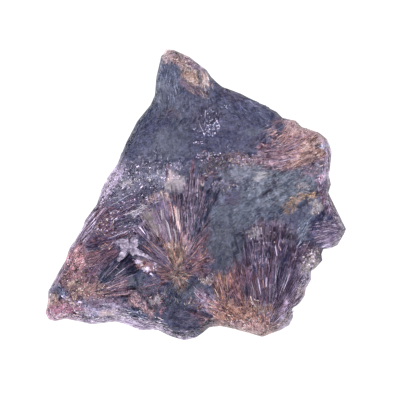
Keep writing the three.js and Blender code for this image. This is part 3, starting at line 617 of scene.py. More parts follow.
def crackDepth(x, y):
    # depth of the cracks in mm and how much painted shade darkens the rock in them, from 0 to 1: a Gaussian
    # across each
    depth, dark = np.zeros(x.shape), np.zeros(x.shape)
    wander, gapSize = crackShape["wander"], crackShape["gapSize"]
    wanderX, wanderY = x + wander * noise(x, y + 5), y + wander * noise(x + 9, y)
    whole = ease(*crackShape["gaps"], noise(x / gapSize + 7, y / gapSize))
    for width, deep, points in cracks:
        cut = whole * np.exp(-(seamDistance(wanderX, wanderY, points) / width) ** 2)
        depth = np.maximum(depth, crackShape["depth"] * deep * cut)
        dark = np.maximum(dark, crackShape["dark"] * cut)
    return depth, dark


rockTone = {
    "tear": 1.2,  # how far the borders of the patches are torn, mm
    "tearSize": 2.4,
    "border": (0.55, 1.45),  # a patch fades out between these shares of its half sizes
    "facets": (0.65, 1.2),  # strength and size of the rock's pattern
    "grains": (0.7, 0.7),
    "steepest": 1.3,
    "bodyShare": 0.45,  # of a mineral's body and shade colours in the rock between its strands, which shows as painted shade in the gaps
    "shadeShare": 0.35,
    "contrast": 0.25,
    "relief": 0.7,
    "glowBand": (0.945, 0.985),  # shares of the way out between which a painted glow of light lightens the rim
    # painted light: how strong the glow painted on the rim is, and the size of its torn edge
    "glowStrength": 1.1,
    "glowTearSize": 1.3,
    "rimTear": 0.014,  # how far noise shifts the rim's limits, as a share of the way out
    # how light and how mottled the painted rim glow is
    "rimLight": 0.9,
    "rimContrast": 0.35,
    "darkest": 0.004,
    # painted shade in the cracks
    "crackDark": 0.85,
    "flankInset": 1.5,  # the flank takes its colours from this far inside the rim, mm
    # painted light: the flank's colours are lifted to offset the shade on its steep sides
    "flankLight": 1.65,
    "flankContrast": 0.36,
    "flankRange": (0.3, 1.8),
    "flankChips": (2.6, 1.1),  # sizes of its facets and its noise
    "flankDrift": (0.8, 2.4),  # strength and size of its drift from slate to grey slate
    "flankGrey": 0.85,  # how far its foot fades to plain grey rock
    "footFade": (0.3, 0.95),  # shares of the way down between which it does so
    "footTear": (0.4, 6),
    "tornFrom": (0.3, 0.45),
}


def coverOf(area, x, y):
    # how much an area covers each point: all within an ellipse, nothing outside a larger one
    atX, atY, halfLength, halfWidth, heading = area
    along, across = offsets(atX, atY, heading, x, y)
    return 1 - ease(*rockTone["border"], np.hypot(along / halfLength, across / halfWidth))


def ragged(x, y):
    # places shifted by noise, so that the patches have torn borders
    tear, size = rockTone["tear"], rockTone["tearSize"]
    return x + tear * layered(x, y, size, 3, 3), y + tear * layered(x, y, size, 3, 8)


def tornShare(share, x, y, size):
    # a share of the way out, shifted by noise of this size
    return share + rockTone["rimTear"] * noise(x / size, y / size)


def paintedRimGlow(x, y):
    # how far a painted glow of light lightens the rim: it rises over the last share of the way out
    share, _, _, _, pale = outlineAt(x, y)
    torn = tornShare(share, x, y, rockTone["glowTearSize"])
    return rockTone["glowStrength"] * pale * ease(*rockTone["glowBand"], torn)


def rockLook(x, y):
    # colour of the rock between the strands, painted darker as shade, with painted shade in its cracks and a
    # painted glow at its rim, and its relief in mm: every patch laid over the last
    tornX, tornY = ragged(x, y)
    (facetShare, facetSize), (grainShare, grainSize) = rockTone["facets"], rockTone["grains"]
    texture = facetShare * facets(x, y, facetSize, 1) + grainShare * layered(x, y, grainSize, 2, 1)
    body = np.zeros(x.shape + (3,))
    relief = np.zeros(x.shape)
    for _, names, area, _, weave in patches:
        cover = coverOf(area, tornX, tornY)
        plain, _, shade = palette[names.split()[0]]
        # painted shade: the rock between the strands is a darkened mix of body and shade colours
        body = mixed(body, rockTone["bodyShare"] * plain + rockTone["shadeShare"] * shade, cover)
        relief = relief + (weaves[weave][-1] - relief) * cover
    depth, dark = crackDepth(x, y)
    # painted light: towards the rim the colour is mixed into a pale glow
    rim = rockTone["rimLight"] * palette["white"][0] * (1 + rockTone["rimContrast"] * texture)[..., None]
    colour = mixed(body * (1 + rockTone["contrast"] * texture)[..., None], rim, paintedRimGlow(x, y))
    colour = np.clip(colour, rockTone["darkest"], 1)
    # painted shade: the rock is darkened in its cracks
    colour = mixed(colour, palette["hollow"][2], rockTone["crackDark"] * dark)
    steepest = rockTone["steepest"]
    return colour, rockTone["relief"] * relief * np.clip(texture, -steepest, steepest) - depth


# Blades grown into the face, as the solid has them: every sector opens from the spray's root between
# two directions in degrees, with the nearest and farthest tips, the number of blades and their width.
sprays = {
    "star": (-4.9, -21.6, 1, (
        (108, 132, 16, 20, 4, 3.2), (64, 104, 17, 30, 11, 1.7), (-6, 58, 6, 9, 6, 1.6),
        (200, 340, 4.5, 7, 7, 1.5), (138, 178, 9, 15, 5, 1.7))),
    "lower right fan": (18.6, -38.9, 6.5, (
        (66, 108, 20, 31, 13, 1.9), (114, 150, 12, 19, 7, 1.7), (34, 60, 10, 16, 5, 1.7))),
    "lower left fan": (-29.5, -27.4, 1, ((-4, 46, 9, 16, 7, 1.6), (70, 190, 4, 7, 4, 1.6))),
    "shoulder fan": (36.5, 13.7, 3.5, ((170, 212, 12, 21, 9, 1.8),)),
    "left edge columns": (-40.7, -26.6, 12, ((50, 58, 21, 26, 3, 1.8),)),
    "middle laths": (-40.7, -18.8, 15, ((12, 34, 20, 28, 6, 1.5),)),
}
blade = {
    "proud": 0.7,  # how far its back stands above the face, mm
    "root": 0.3,  # its width there, as a share of the width at the tip
    "lean": 22,  # degrees either way
    "arch": 0.7,  # how much of the swell between its ends it follows
    "side": 2.5,  # how steeply its sides fall
    "limit": 0.93,  # tips further out than this share are drawn in, so much at a time
    "tries": 12,
}


def grownBlades():
    # root, tip, width and lean of every grown blade, with the solid's own random numbers
    rows = []
    for atX, atY, begin, sectors in sprays.values():
        for place, (low, high, near, far, count, width) in enumerate(sectors):
            seeds = 31 * place + np.arange(count)
            turn = np.radians(low + (high - low) * (np.arange(count) + 0.2 + 0.6 * chance(seeds, 1)) / count)
            reach = near + (far - near) * chance(seeds, 2)
            for _ in range(blade["tries"]):
                out = ringShare(atX + reach * np.cos(turn), atY + reach * np.sin(turn))
                reach = np.where(out > blade["limit"], reach * blade["limit"], reach)
            rows.append(np.column_stack([
                atX + begin * np.cos(turn), atY + begin * np.sin(turn),
                atX + reach * np.cos(turn), atY + reach * np.sin(turn),
                width * (0.7 + 0.6 * chance(seeds, 3)),
                np.radians(blade["lean"] * (2 * chance(seeds, 4) - 1))]))
    return np.vstack(rows)


grown = grownBlades()


# Grains of other minerals half sunk in the face, as the solid has them: x, y, length, width, heading,
# how far each stands proud
grains = (
    (-15.3, -30, 6.2, 4, -40, 0.9), (-10.4, -28.8, 4.2, 3, 60, 0.8), (-5.5, 3.6, 5.2, 4.4, 15, 0.6),
    (-4.2, 34.4, 6.6, 4.4, -50, 0.8), (34.6, 13.2, 3.2, 2.8, 20, 0.8), (28.8, -1.6, 7, 3.4, 24, 0.5),
    (-33, -19.4, 4.6, 3.6, 60, 0.7), (37, -7.6, 5.4, 3.8, 70, 0.6),
)
grainDepth = 3.4


def groundHeight(x, y):
    # the top of the rock with its grains and grown blades: a grain's height is that of an ellipsoid,
    # a blade's is its sloping back, which falls away steeply past its sides and its chisel tip
    height = topHeight(x, y)
    for atX, atY, length, width, heading, proud in grains:
        along, across = offsets(atX, atY, heading, x, y)
        inside = np.clip(1 - (2 * along / length) ** 2 - (2 * across / width) ** 2, 0, 1)
        dome = faceHeight(np.array(atX), np.array(atY)) + proud - grainDepth / 2 * (1 - np.sqrt(inside))
        height = np.where(inside > 0, np.maximum(height, dome), height)
    for rootX, rootY, tipX, tipY, width, lean in grown:
        length = math.hypot(tipX - rootX, tipY - rootY)
        along = ((x - rootX) * (tipX - rootX) + (y - rootY) * (tipY - rootY)) / length
        across = ((y - rootY) * (tipX - rootX) - (x - rootX) * (tipY - rootY)) / length
        close = (along > -1) & (along < length + 1) & (np.abs(across) < width + 1)
        if not close.any():
            continue
        root, tip, middle = faceHeight(np.array([rootX, tipX, (rootX + tipX) / 2]),
                                       np.array([rootY, tipY, (rootY + tipY) / 2]))
        share = np.clip(along[close] / length, 0, 1)
        back = root + (tip - root) * share + max(0, blade["arch"] * (middle - (root + tip) / 2))
        half = width / 2 * (blade["root"] + (1 - blade["root"]) * share)
        past = np.maximum(np.abs(across[close]) - half, 0)
        past = np.maximum(past, np.maximum(along[close] - length + width / 2, -along[close]))
        top = back + blade["proud"] - across[close] * math.tan(-lean) - blade["side"] * past
        height[close] = np.maximum(height[close], top)
    return height


def placed(name, data):
    # an object for a mesh, lamp or camera, linked to the scene
    made = bpy.data.objects.new(name, data)
    bpy.context.scene.collection.objects.link(made)
    return made


def meshPiece(name, points, faces, colours, material, smooth=True, strand=None):
    # points in mm go in as metres; colours are one linear row per point
    mesh = bpy.data.meshes.new(name)
    mesh.vertices.add(len(points))
    mesh.vertices.foreach_set("co", (np.asarray(points, dtype=float) * metres).ravel())
    corners = np.concatenate([block.ravel() for block in faces])
    sizes = np.concatenate([np.full(len(block), block.shape[1]) for block in faces])
    mesh.loops.add(len(corners))
    mesh.loops.foreach_set("vertex_index", corners.astype(np.int32))
    mesh.polygons.add(len(sizes))
    mesh.polygons.foreach_set("loop_start", np.concatenate([[0], np.cumsum(sizes)[:-1]]).astype(np.int32))
    mesh.polygons.foreach_set("use_smooth", np.full(len(sizes), smooth))
    tint = mesh.attributes.new("tint", "FLOAT_COLOR", "POINT")
    tint.data.foreach_set("color", np.column_stack([np.clip(colours, 0, 1), np.ones(len(points))]).ravel())
    if strand is not None:
        lines = mesh.attributes.new("strand", "FLOAT_VECTOR", "POINT")
        lines.data.foreach_set("vector", strand.ravel())
    mesh.update(calc_edges=True)
    mesh.validate()
    mesh.materials.append(material)
    piece = placed(name, mesh)
    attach(piece, "root")
    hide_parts(node)
    return piece


def flankLine(edge, row, rows):
    # one line round the flank: row 0 is the upper rim, then the widest line, then the lower rim. The
    # inset is the bevel or the foot times a power of how far the row is from the widest line, and in
    # between facets and layers chip it
    x, y, bevel, foot, waist = edge
    split = slab["rowsAbove"] * rows
    above, below = max(0, 1 - row / split), max(0, (row - split) / (rows - split))
    down = waist * (1 - above) if above > 0 else waist + (1 - waist) * below
    rimX, rimY = setBack(x, y, bevel)
    height = faceHeight(rimX, rimY) * (1 - down) + slab["footHeight"] * down
    girth = np.arctan2(y, x) * slab["girth"]
    broken = 0.5 + 0.5 * facets(girth, slab["chipSquash"] * height, slab["chipSize"], 11)
    broken = slab["chipDepth"] * np.minimum(broken ** 2, 1.1)
    longSize, tallSize = slab["layerSize"]
    rough = slab["roughDepth"]
    layers = slab["layerDepth"] * noise(girth / longSize, height / tallSize)
    layers = layers + rough * layered(girth, height, slab["roughSize"], 3, 5)
    layers = layers + rough * facets(girth + height, 1.2 * height, slab["splinterSize"], 15)
    free = slab["playAbove"] * above * (1 - above) + slab["playBelow"] * below * (1 - below)
    inset = bevel * above ** slab["rimCurve"] + foot * below ** slab["footCurve"] + free * (broken + layers)
    placeX, placeY = setBack(x, y, inset)
    return placeX, placeY, height


def flankLook(x, y, z, down):
    # colours of the flank and back: the face's own, lifted as painted light, which fade to plain rock towards
    # the foot and are broken up by facets and noise
    squash, contrast = slab["chipSquash"], rockTone["flankContrast"]
    facetSize, noiseSize = rockTone["flankChips"]
    driftShare, driftSize = rockTone["flankDrift"]
    tearShare, tearSize = rockTone["footTear"]
    girth = np.arctan2(y, x) * slab["girth"]
    # painted light: the face's colours, lifted for the flank
    colour = rockTone["flankLight"] * rockLook(*setBack(x, y, rockTone["flankInset"]))[0]
    drift = layered(x + y, z * 2, driftSize, 3, 14)
    rock = mixed(np.broadcast_to(palette["slate"][0], (len(x), 3)), palette["greySlate"][0],
                 np.clip(0.5 + driftShare * drift, 0, 1))
    torn = tearShare * layered(girth, squash * z, tearSize, 3, 2)
    under = ease(*rockTone["footFade"], down + torn * ease(*rockTone["tornFrom"], down))
    colour = mixed(colour, rock, rockTone["flankGrey"] * under)
    chip = contrast * facets(girth, squash * z, facetSize, 19)
    chip = chip + contrast * layered(girth, 1.6 * z, noiseSize, 3, 6)
    return colour * np.clip(1 + chip, *rockTone["flankRange"])[:, None]


def buildRock(material):
    # the face is a square grid whose square rings become shrunken outlines about the hub; the flank is
    # a grid of turn and row below its border; the back is rings that close on the hub
    cells, rows, rings = slab["cells"], slab["flankRows"], slab["backRings"]
    hubX, hubY = slab["hub"]
    across = np.linspace(-1, 1, cells + 1)
    gridV, gridU = np.meshgrid(across, across, indexing="ij")
    ring = np.maximum(np.abs(gridU), np.abs(gridV))
    safe = np.maximum(ring, 1e-9)
    sideU, sideV = gridU / safe, gridV / safe
    turn = np.select([sideU > 1 - 1e-9, sideV > 1 - 1e-9, sideU < -1 + 1e-9],
                     [(sideV + 1) / 2, 1 + (1 - sideU) / 2, 2 + (1 - sideV) / 2], 3 + (sideU + 1) / 2)
    edge = edgeAt(turn)
    faceX, faceY = fromHub(*setBack(*edge[:3]), ring)
    colour, relief = rockLook(faceX, faceY)
    calmShare, calmFrom = slab["calmRim"]
    calm = 1 - calmShare * ease(calmFrom, 1, ring)
    faceZ = groundHeight(faceX, faceY) + relief * calm

    count = 4 * cells  # border points, anticlockwise from the grid's lower right corner
    step = np.arange(cells)
    index = np.arange((cells + 1) ** 2).reshape(cells + 1, cells + 1)
    border = np.concatenate([index[step, cells], index[cells, cells - step], index[cells - step, 0],
                             index[0, step]])
    edge = edgeAt(np.arange(count) * 4 / count)
    sideX, sideY, sideZ = [np.array(lines) for lines in zip(
        *[flankLine(edge, row, rows) for row in range(1, rows + 1)])]
    inward = np.linspace(1, 0, rings + 1)[1:-1, None]
    backX, backY = fromHub(sideX[-1], sideY[-1], inward)
    curl = np.clip((inward - slab["restShare"]) / (1 - slab["restShare"]), 0, 1) ** slab["backCurve"]
    (coarse, fine), (chipDeep, chipSize) = slab["hollowSizes"], slab["backChips"]
    hollow = noise(backX / coarse + 40, backY / coarse)
    hollow = hollow + slab["hollowFine"] * noise(backX / fine, backY / fine + 70) - slab["hollowLevel"]
    hollow = slab["backHollows"] * np.maximum(hollow, 0)
    chipped = np.clip(chipDeep * facets(backX, backY, chipSize, 21) + 0.1, 0, 1) * (hollow > 0.02)
    backZ = (hollow + chipped) * (1 - curl) + slab["footHeight"] * curl

    points = np.column_stack([
        np.concatenate([faceX.ravel(), sideX.ravel(), backX.ravel(), [hubX]]),
        np.concatenate([faceY.ravel(), sideY.ravel(), backY.ravel(), [hubY]]),
        np.concatenate([faceZ.ravel(), sideZ.ravel(), backZ.ravel(), [0.0]])])
    start = (cells + 1) ** 2
    lines = np.vstack([border, start + np.arange((rows + rings - 1) * count).reshape(-1, count)])
    after = np.roll(lines, -1, axis=1)
    walls = np.stack([lines[:-1], lines[1:], after[1:], after[:-1]], axis=-1).reshape(-1, 4)
    top = np.stack([index[:-1, :-1], index[:-1, 1:], index[1:, 1:], index[1:, :-1]], axis=-1).reshape(-1, 4)
    close = np.column_stack([lines[-1], np.full(count, len(points) - 1), after[-1]])

    down = np.full(len(points) - start, 2.0)  # past 1 is the back
    down[:rows * count] = np.repeat(np.arange(1, rows + 1) / rows, count)
    colours = np.vstack([colour.reshape(-1, 3), flankLook(*points[start:].T, down)])
    return meshPiece("rock_slab", points, [top, walls, close], colours, material)


def sweptPoints(pathX, pathY, pathZ, sideX, sideY, across, up):
    # every path carries a profile: each of its points lies across to the path's side and up from it
    return np.stack([pathX[:, :, None] + sideX[:, None, None] * across,
                     pathY[:, :, None] + sideY[:, None, None] * across, pathZ[:, :, None] + up], axis=-1)


def sweptFaces(count, stations, corners):
    # the quads between the stations of every path, and a cap on each of its ends
    index = np.arange(count * stations * corners).reshape(count, stations, corners)
    beside = np.roll(index, -1, axis=2)
    skin = np.stack([index[:, :-1], index[:, 1:], beside[:, 1:], beside[:, :-1]], axis=-1).reshape(-1, 4)
    return skin, np.concatenate([index[:, 0], index[:, -1, ::-1]])


brightCurve, deepCurve = 1.7, 1.1  # higher keeps full brightness, partly a painted glint, and full painted shade rarer


def drawShades(which, contrast, draw):
    # colours from the mineral table: draw runs from -1, the mineral's painted shade, to 1, its bright
    # cleavage, partly a painted glint
    body, bright, deep = np.moveaxis(mineralTable[which], 1, 0)
    colour = mixed(body, bright, contrast * np.clip(draw, 0, 1) ** brightCurve)
    return mixed(colour, deep, contrast * np.clip(-draw, 0, 1) ** deepCurve)


strands = {
    "seed": 7,
    "spacing": 0.33,  # mm between strands each way before they are shaken out of line
    "shake": 1.6,  # how far out of line, in spacings
    "halfSpan": (42, 41),
    "sink": 0.4,  # how deep they are rooted
    "rim": 0.992,  # strands end at this share of the way out
    "rimGap": 0.004,  # and begin this much further in
    "thinning": (0.972, 0.992),  # shares of the way out between which rock shows more and more
    "thinned": 0.8,  # the share of strands missing at the end
    "thinningSize": 1.7,
    "wander": 0.14,  # how far the lie drifts, in radians
    "wanderSize": 4,
    "rayTurn": 12,  # mm across for each radian where strands spread from a point
    "clump": (2.4, 2.6),  # its size in lengths and widths of its strands
    "toneSize": 3.2,
    "shadeShares": (0.36, 1.1, 0.12),  # of clump, chance and tone in how bright a strand is
    "shadeCurve": 0.8,
    "kindClump": (1.7, 2.2),
    "kindShares": (0.45, 0.55),  # of clump and chance in which mineral it is
    "kindCurve": 1.35,  # higher keeps more to the common ones
    # painted shade on strands in the cracks
    "crackDark": 0.8,
    "longCurve": 1.3,  # higher makes long strands rarer
    "lengths": (0.45, 1.1),  # least, and how much more by chance, as are the next three
    "widths": (0.65, 0.7),
    "rises": (0.35, 1.1),
    # how strongly each strand takes the painted rim glow
    "rimGlow": (0.4, 0.9),
    "brightRise": 0.4,  # bright strands stand higher
    "lowest": 0.03,
    "leans": 0.25,  # how far the ridge strays from the middle, in widths
    "stations": (-1.0, 0.1, 1.0),  # root, middle and tip, in half lengths
    "profile": ((-0.5, 0.0), (0.1, 1.0), (0.5, 0.0)),  # across, up
    "taper": (0.5, 1.0, 0.25),  # width at root, middle and tip
    "crest": (0.5, 1.0, 0.2),  # height at root, middle and tip
    "runLight": (0.85, 1.05, 1.0),  # how light root, middle and tip are
    "ridgeLight": (0.52, 1.2, 0.52),  # and the two sides and the ridge: painted shade on the sides, a painted highlight on the ridge
    "upperFrom": 5,  # the upper piece begins here, and the lower two meet at rightFrom
    "rightFrom": 2,
}


def chooseMinerals(rng, owner, names, along, across):
    # the mineral of each strand: a patch's early ones are common, and a clump tends to keep to one
    pools = [numbersOf(row) for row in names]
    sizes = np.array([len(pool) for pool in pools])
    table = np.array([np.resize(pool, sizes.max()) for pool in pools])[owner]
    sizes = sizes[owner]
    clumpShare, chanceShare = strands["kindShares"]
    pick = np.clip(0.5 + 0.5 * noise(along + 3.1, across + owner), 0, 1)
    pick = (clumpShare * pick + chanceShare * rng.random(len(owner))) ** strands["kindCurve"]
    return np.take_along_axis(table, np.minimum(sizes * pick, sizes - 1).astype(int)[:, None], 1)[:, 0]


def layStrands(rng):
    # one short strand on every cell of a shaken grid, each belonging to the topmost patch that covers it
    step = strands["spacing"]
    gridX, gridY = np.meshgrid(*[np.arange(-half, half, step) for half in strands["halfSpan"]])
    x = (gridX + step * (rng.random(gridX.shape) - 0.5) * strands["shake"]).ravel()
    y = (gridY + step * (rng.random(gridY.shape) - 0.5) * strands["shake"]).ravel()
    share = ringShare(x, y)
    bare = ease(*strands["thinning"], tornShare(share, x, y, strands["thinningSize"]))
    kept = (share < strands["rim"] - strands["rimGap"]) & (rng.random(len(x)) > strands["thinned"] * bare)
    x, y = x[kept], y[kept]
    order = rng.permutation(len(x))
    x, y = x[order], y[order]
    count = len(x)
    owner = np.zeros(count, dtype=int)
    tornX, tornY = ragged(x, y)
    _, names, areas, lies, weaveNames = zip(*patches)
    for number, area in enumerate(areas):
        owner[coverOf(area, tornX, tornY) > rng.random(count)] = number
    # a lie that is a point is what the strands spread from
    rays = np.array([np.ndim(lie) > 0 for lie in lies])[owner]
    focus = np.array([lie if np.ndim(lie) else (0, 0) for lie in lies], dtype=float)[owner]
    straight = np.array([0 if np.ndim(lie) else lie for lie in lies], dtype=float)[owner]
    spread, length, width, contrast, relief = np.array([weaves[weave] for weave in weaveNames])[owner].T
    toX, toY = x - focus[:, 0], y - focus[:, 1]
    drift = strands["wander"] * noise(x / strands["wanderSize"], y / strands["wanderSize"])
    flow = np.where(rays, np.arctan2(toY, toX), np.radians(straight) + drift)
    # the clump that a strand is in: noise drawn out along the flow
    along = np.where(rays, np.hypot(toX, toY), x * np.cos(flow) + y * np.sin(flow))
    across = np.where(rays, flow * strands["rayTurn"], y * np.cos(flow) - x * np.sin(flow))
    longShare, wideShare = strands["clump"]
    clump = noise(along / (longShare * length) + owner * 7.7, across / (wideShare * width))
    tone = layered(x, y, strands["toneSize"], 2, 4)
    heading = flow + np.radians(spread) * rng.standard_normal(count)
    clumpShare, chanceShare, toneShare = strands["shadeShares"]
    draw = clumpShare * clump + chanceShare * (2 * rng.random(count) - 1) + toneShare * tone
    draw = np.sign(draw) * np.clip(np.abs(draw), 0, 1) ** strands["shadeCurve"]
    longShare, wideShare = strands["kindClump"]
    which = chooseMinerals(rng, owner, names, along / (longShare * length), across / (wideShare * width))
    colours = drawShades(which, contrast, draw)
    _, dark = crackDepth(x, y)
    # painted shade: strands in the cracks are darkened
    colours = mixed(colours, palette["hollow"][2], strands["crackDark"] * dark)
    # painted light: strands near the rim are mixed towards white as the rim's painted glow
    rimGlow = paintedRimGlow(x, y) * spreadOut(rng, strands["rimGlow"], count)
    colours = mixed(colours, palette["white"][0], rimGlow)
    lengths = length * spreadOut(rng, strands["lengths"], count, strands["longCurve"])
    wide = width * spreadOut(rng, strands["widths"], count)
    rise = relief * (spreadOut(rng, strands["rises"], count) + strands["brightRise"] * draw)
    half = lengths[:, None] / 2 * np.array(strands["stations"])
    pathX, pathY = reached(x[:, None], y[:, None], heading[:, None], half, 0)
    lean = rng.normal(0, strands["leans"], count)
    return pathX, pathY, wide, np.maximum(rise, strands["lowest"]), colours, lean


def strandMesh(name, pathX, pathY, width, rise, colours, lean, material):
    # a ridge-shaped profile carried through three stations that follow the ground, closed at both ends
    share = ringShare(pathX, pathY)
    pathX, pathY = fromHub(pathX, pathY, np.minimum(1, strands["rim"] / np.maximum(share, 1e-6)))
    # a strand on a slope keeps its true length
    fall = np.diff(topHeight(pathX[:, ::2], pathY[:, ::2]), axis=1)
    run = np.hypot(pathX[:, 2] - pathX[:, 0], pathY[:, 2] - pathY[:, 0])[:, None]
    kept = run / np.maximum(np.hypot(run, fall), 1e-3)
    pathX = pathX[:, 1:2] + (pathX - pathX[:, 1:2]) * kept
    pathY = pathY[:, 1:2] + (pathY - pathY[:, 1:2]) * kept
    depth, _ = crackDepth(pathX, pathY)
    pathZ = groundHeight(pathX, pathY) - depth
    profile = np.array(strands["profile"])
    taper, crest = np.array(strands["taper"]), np.array(strands["crest"])
    across = profile[:, 0] * width[:, None, None] * taper[:, None]
    up = np.where(profile[:, 1] > 0, crest[:, None] * rise[:, None, None], -strands["sink"])
    across = across + np.where(profile[:, 1] > 0, (lean * width)[:, None, None], 0)
    wayX, wayY = pathX[:, 2] - pathX[:, 0], pathY[:, 2] - pathY[:, 0]
    length = np.maximum(np.hypot(wayX, wayY), 1e-3)
    points = sweptPoints(pathX, pathY, pathZ, -wayY / length, wayX / length, across, up)
    # painted light: each strand's ridge is painted lighter than its sides, and its root a little darker
    light = np.array(strands["ridgeLight"])[None, None, :, None]
    tint = colours[:, None, None, :] * light * np.array(strands["runLight"])[None, :, None, None]
    return meshPiece(name, points.reshape(-1, 3), sweptFaces(len(pathX), 3, 3), tint.reshape(-1, 3), material,
                     smooth=False)


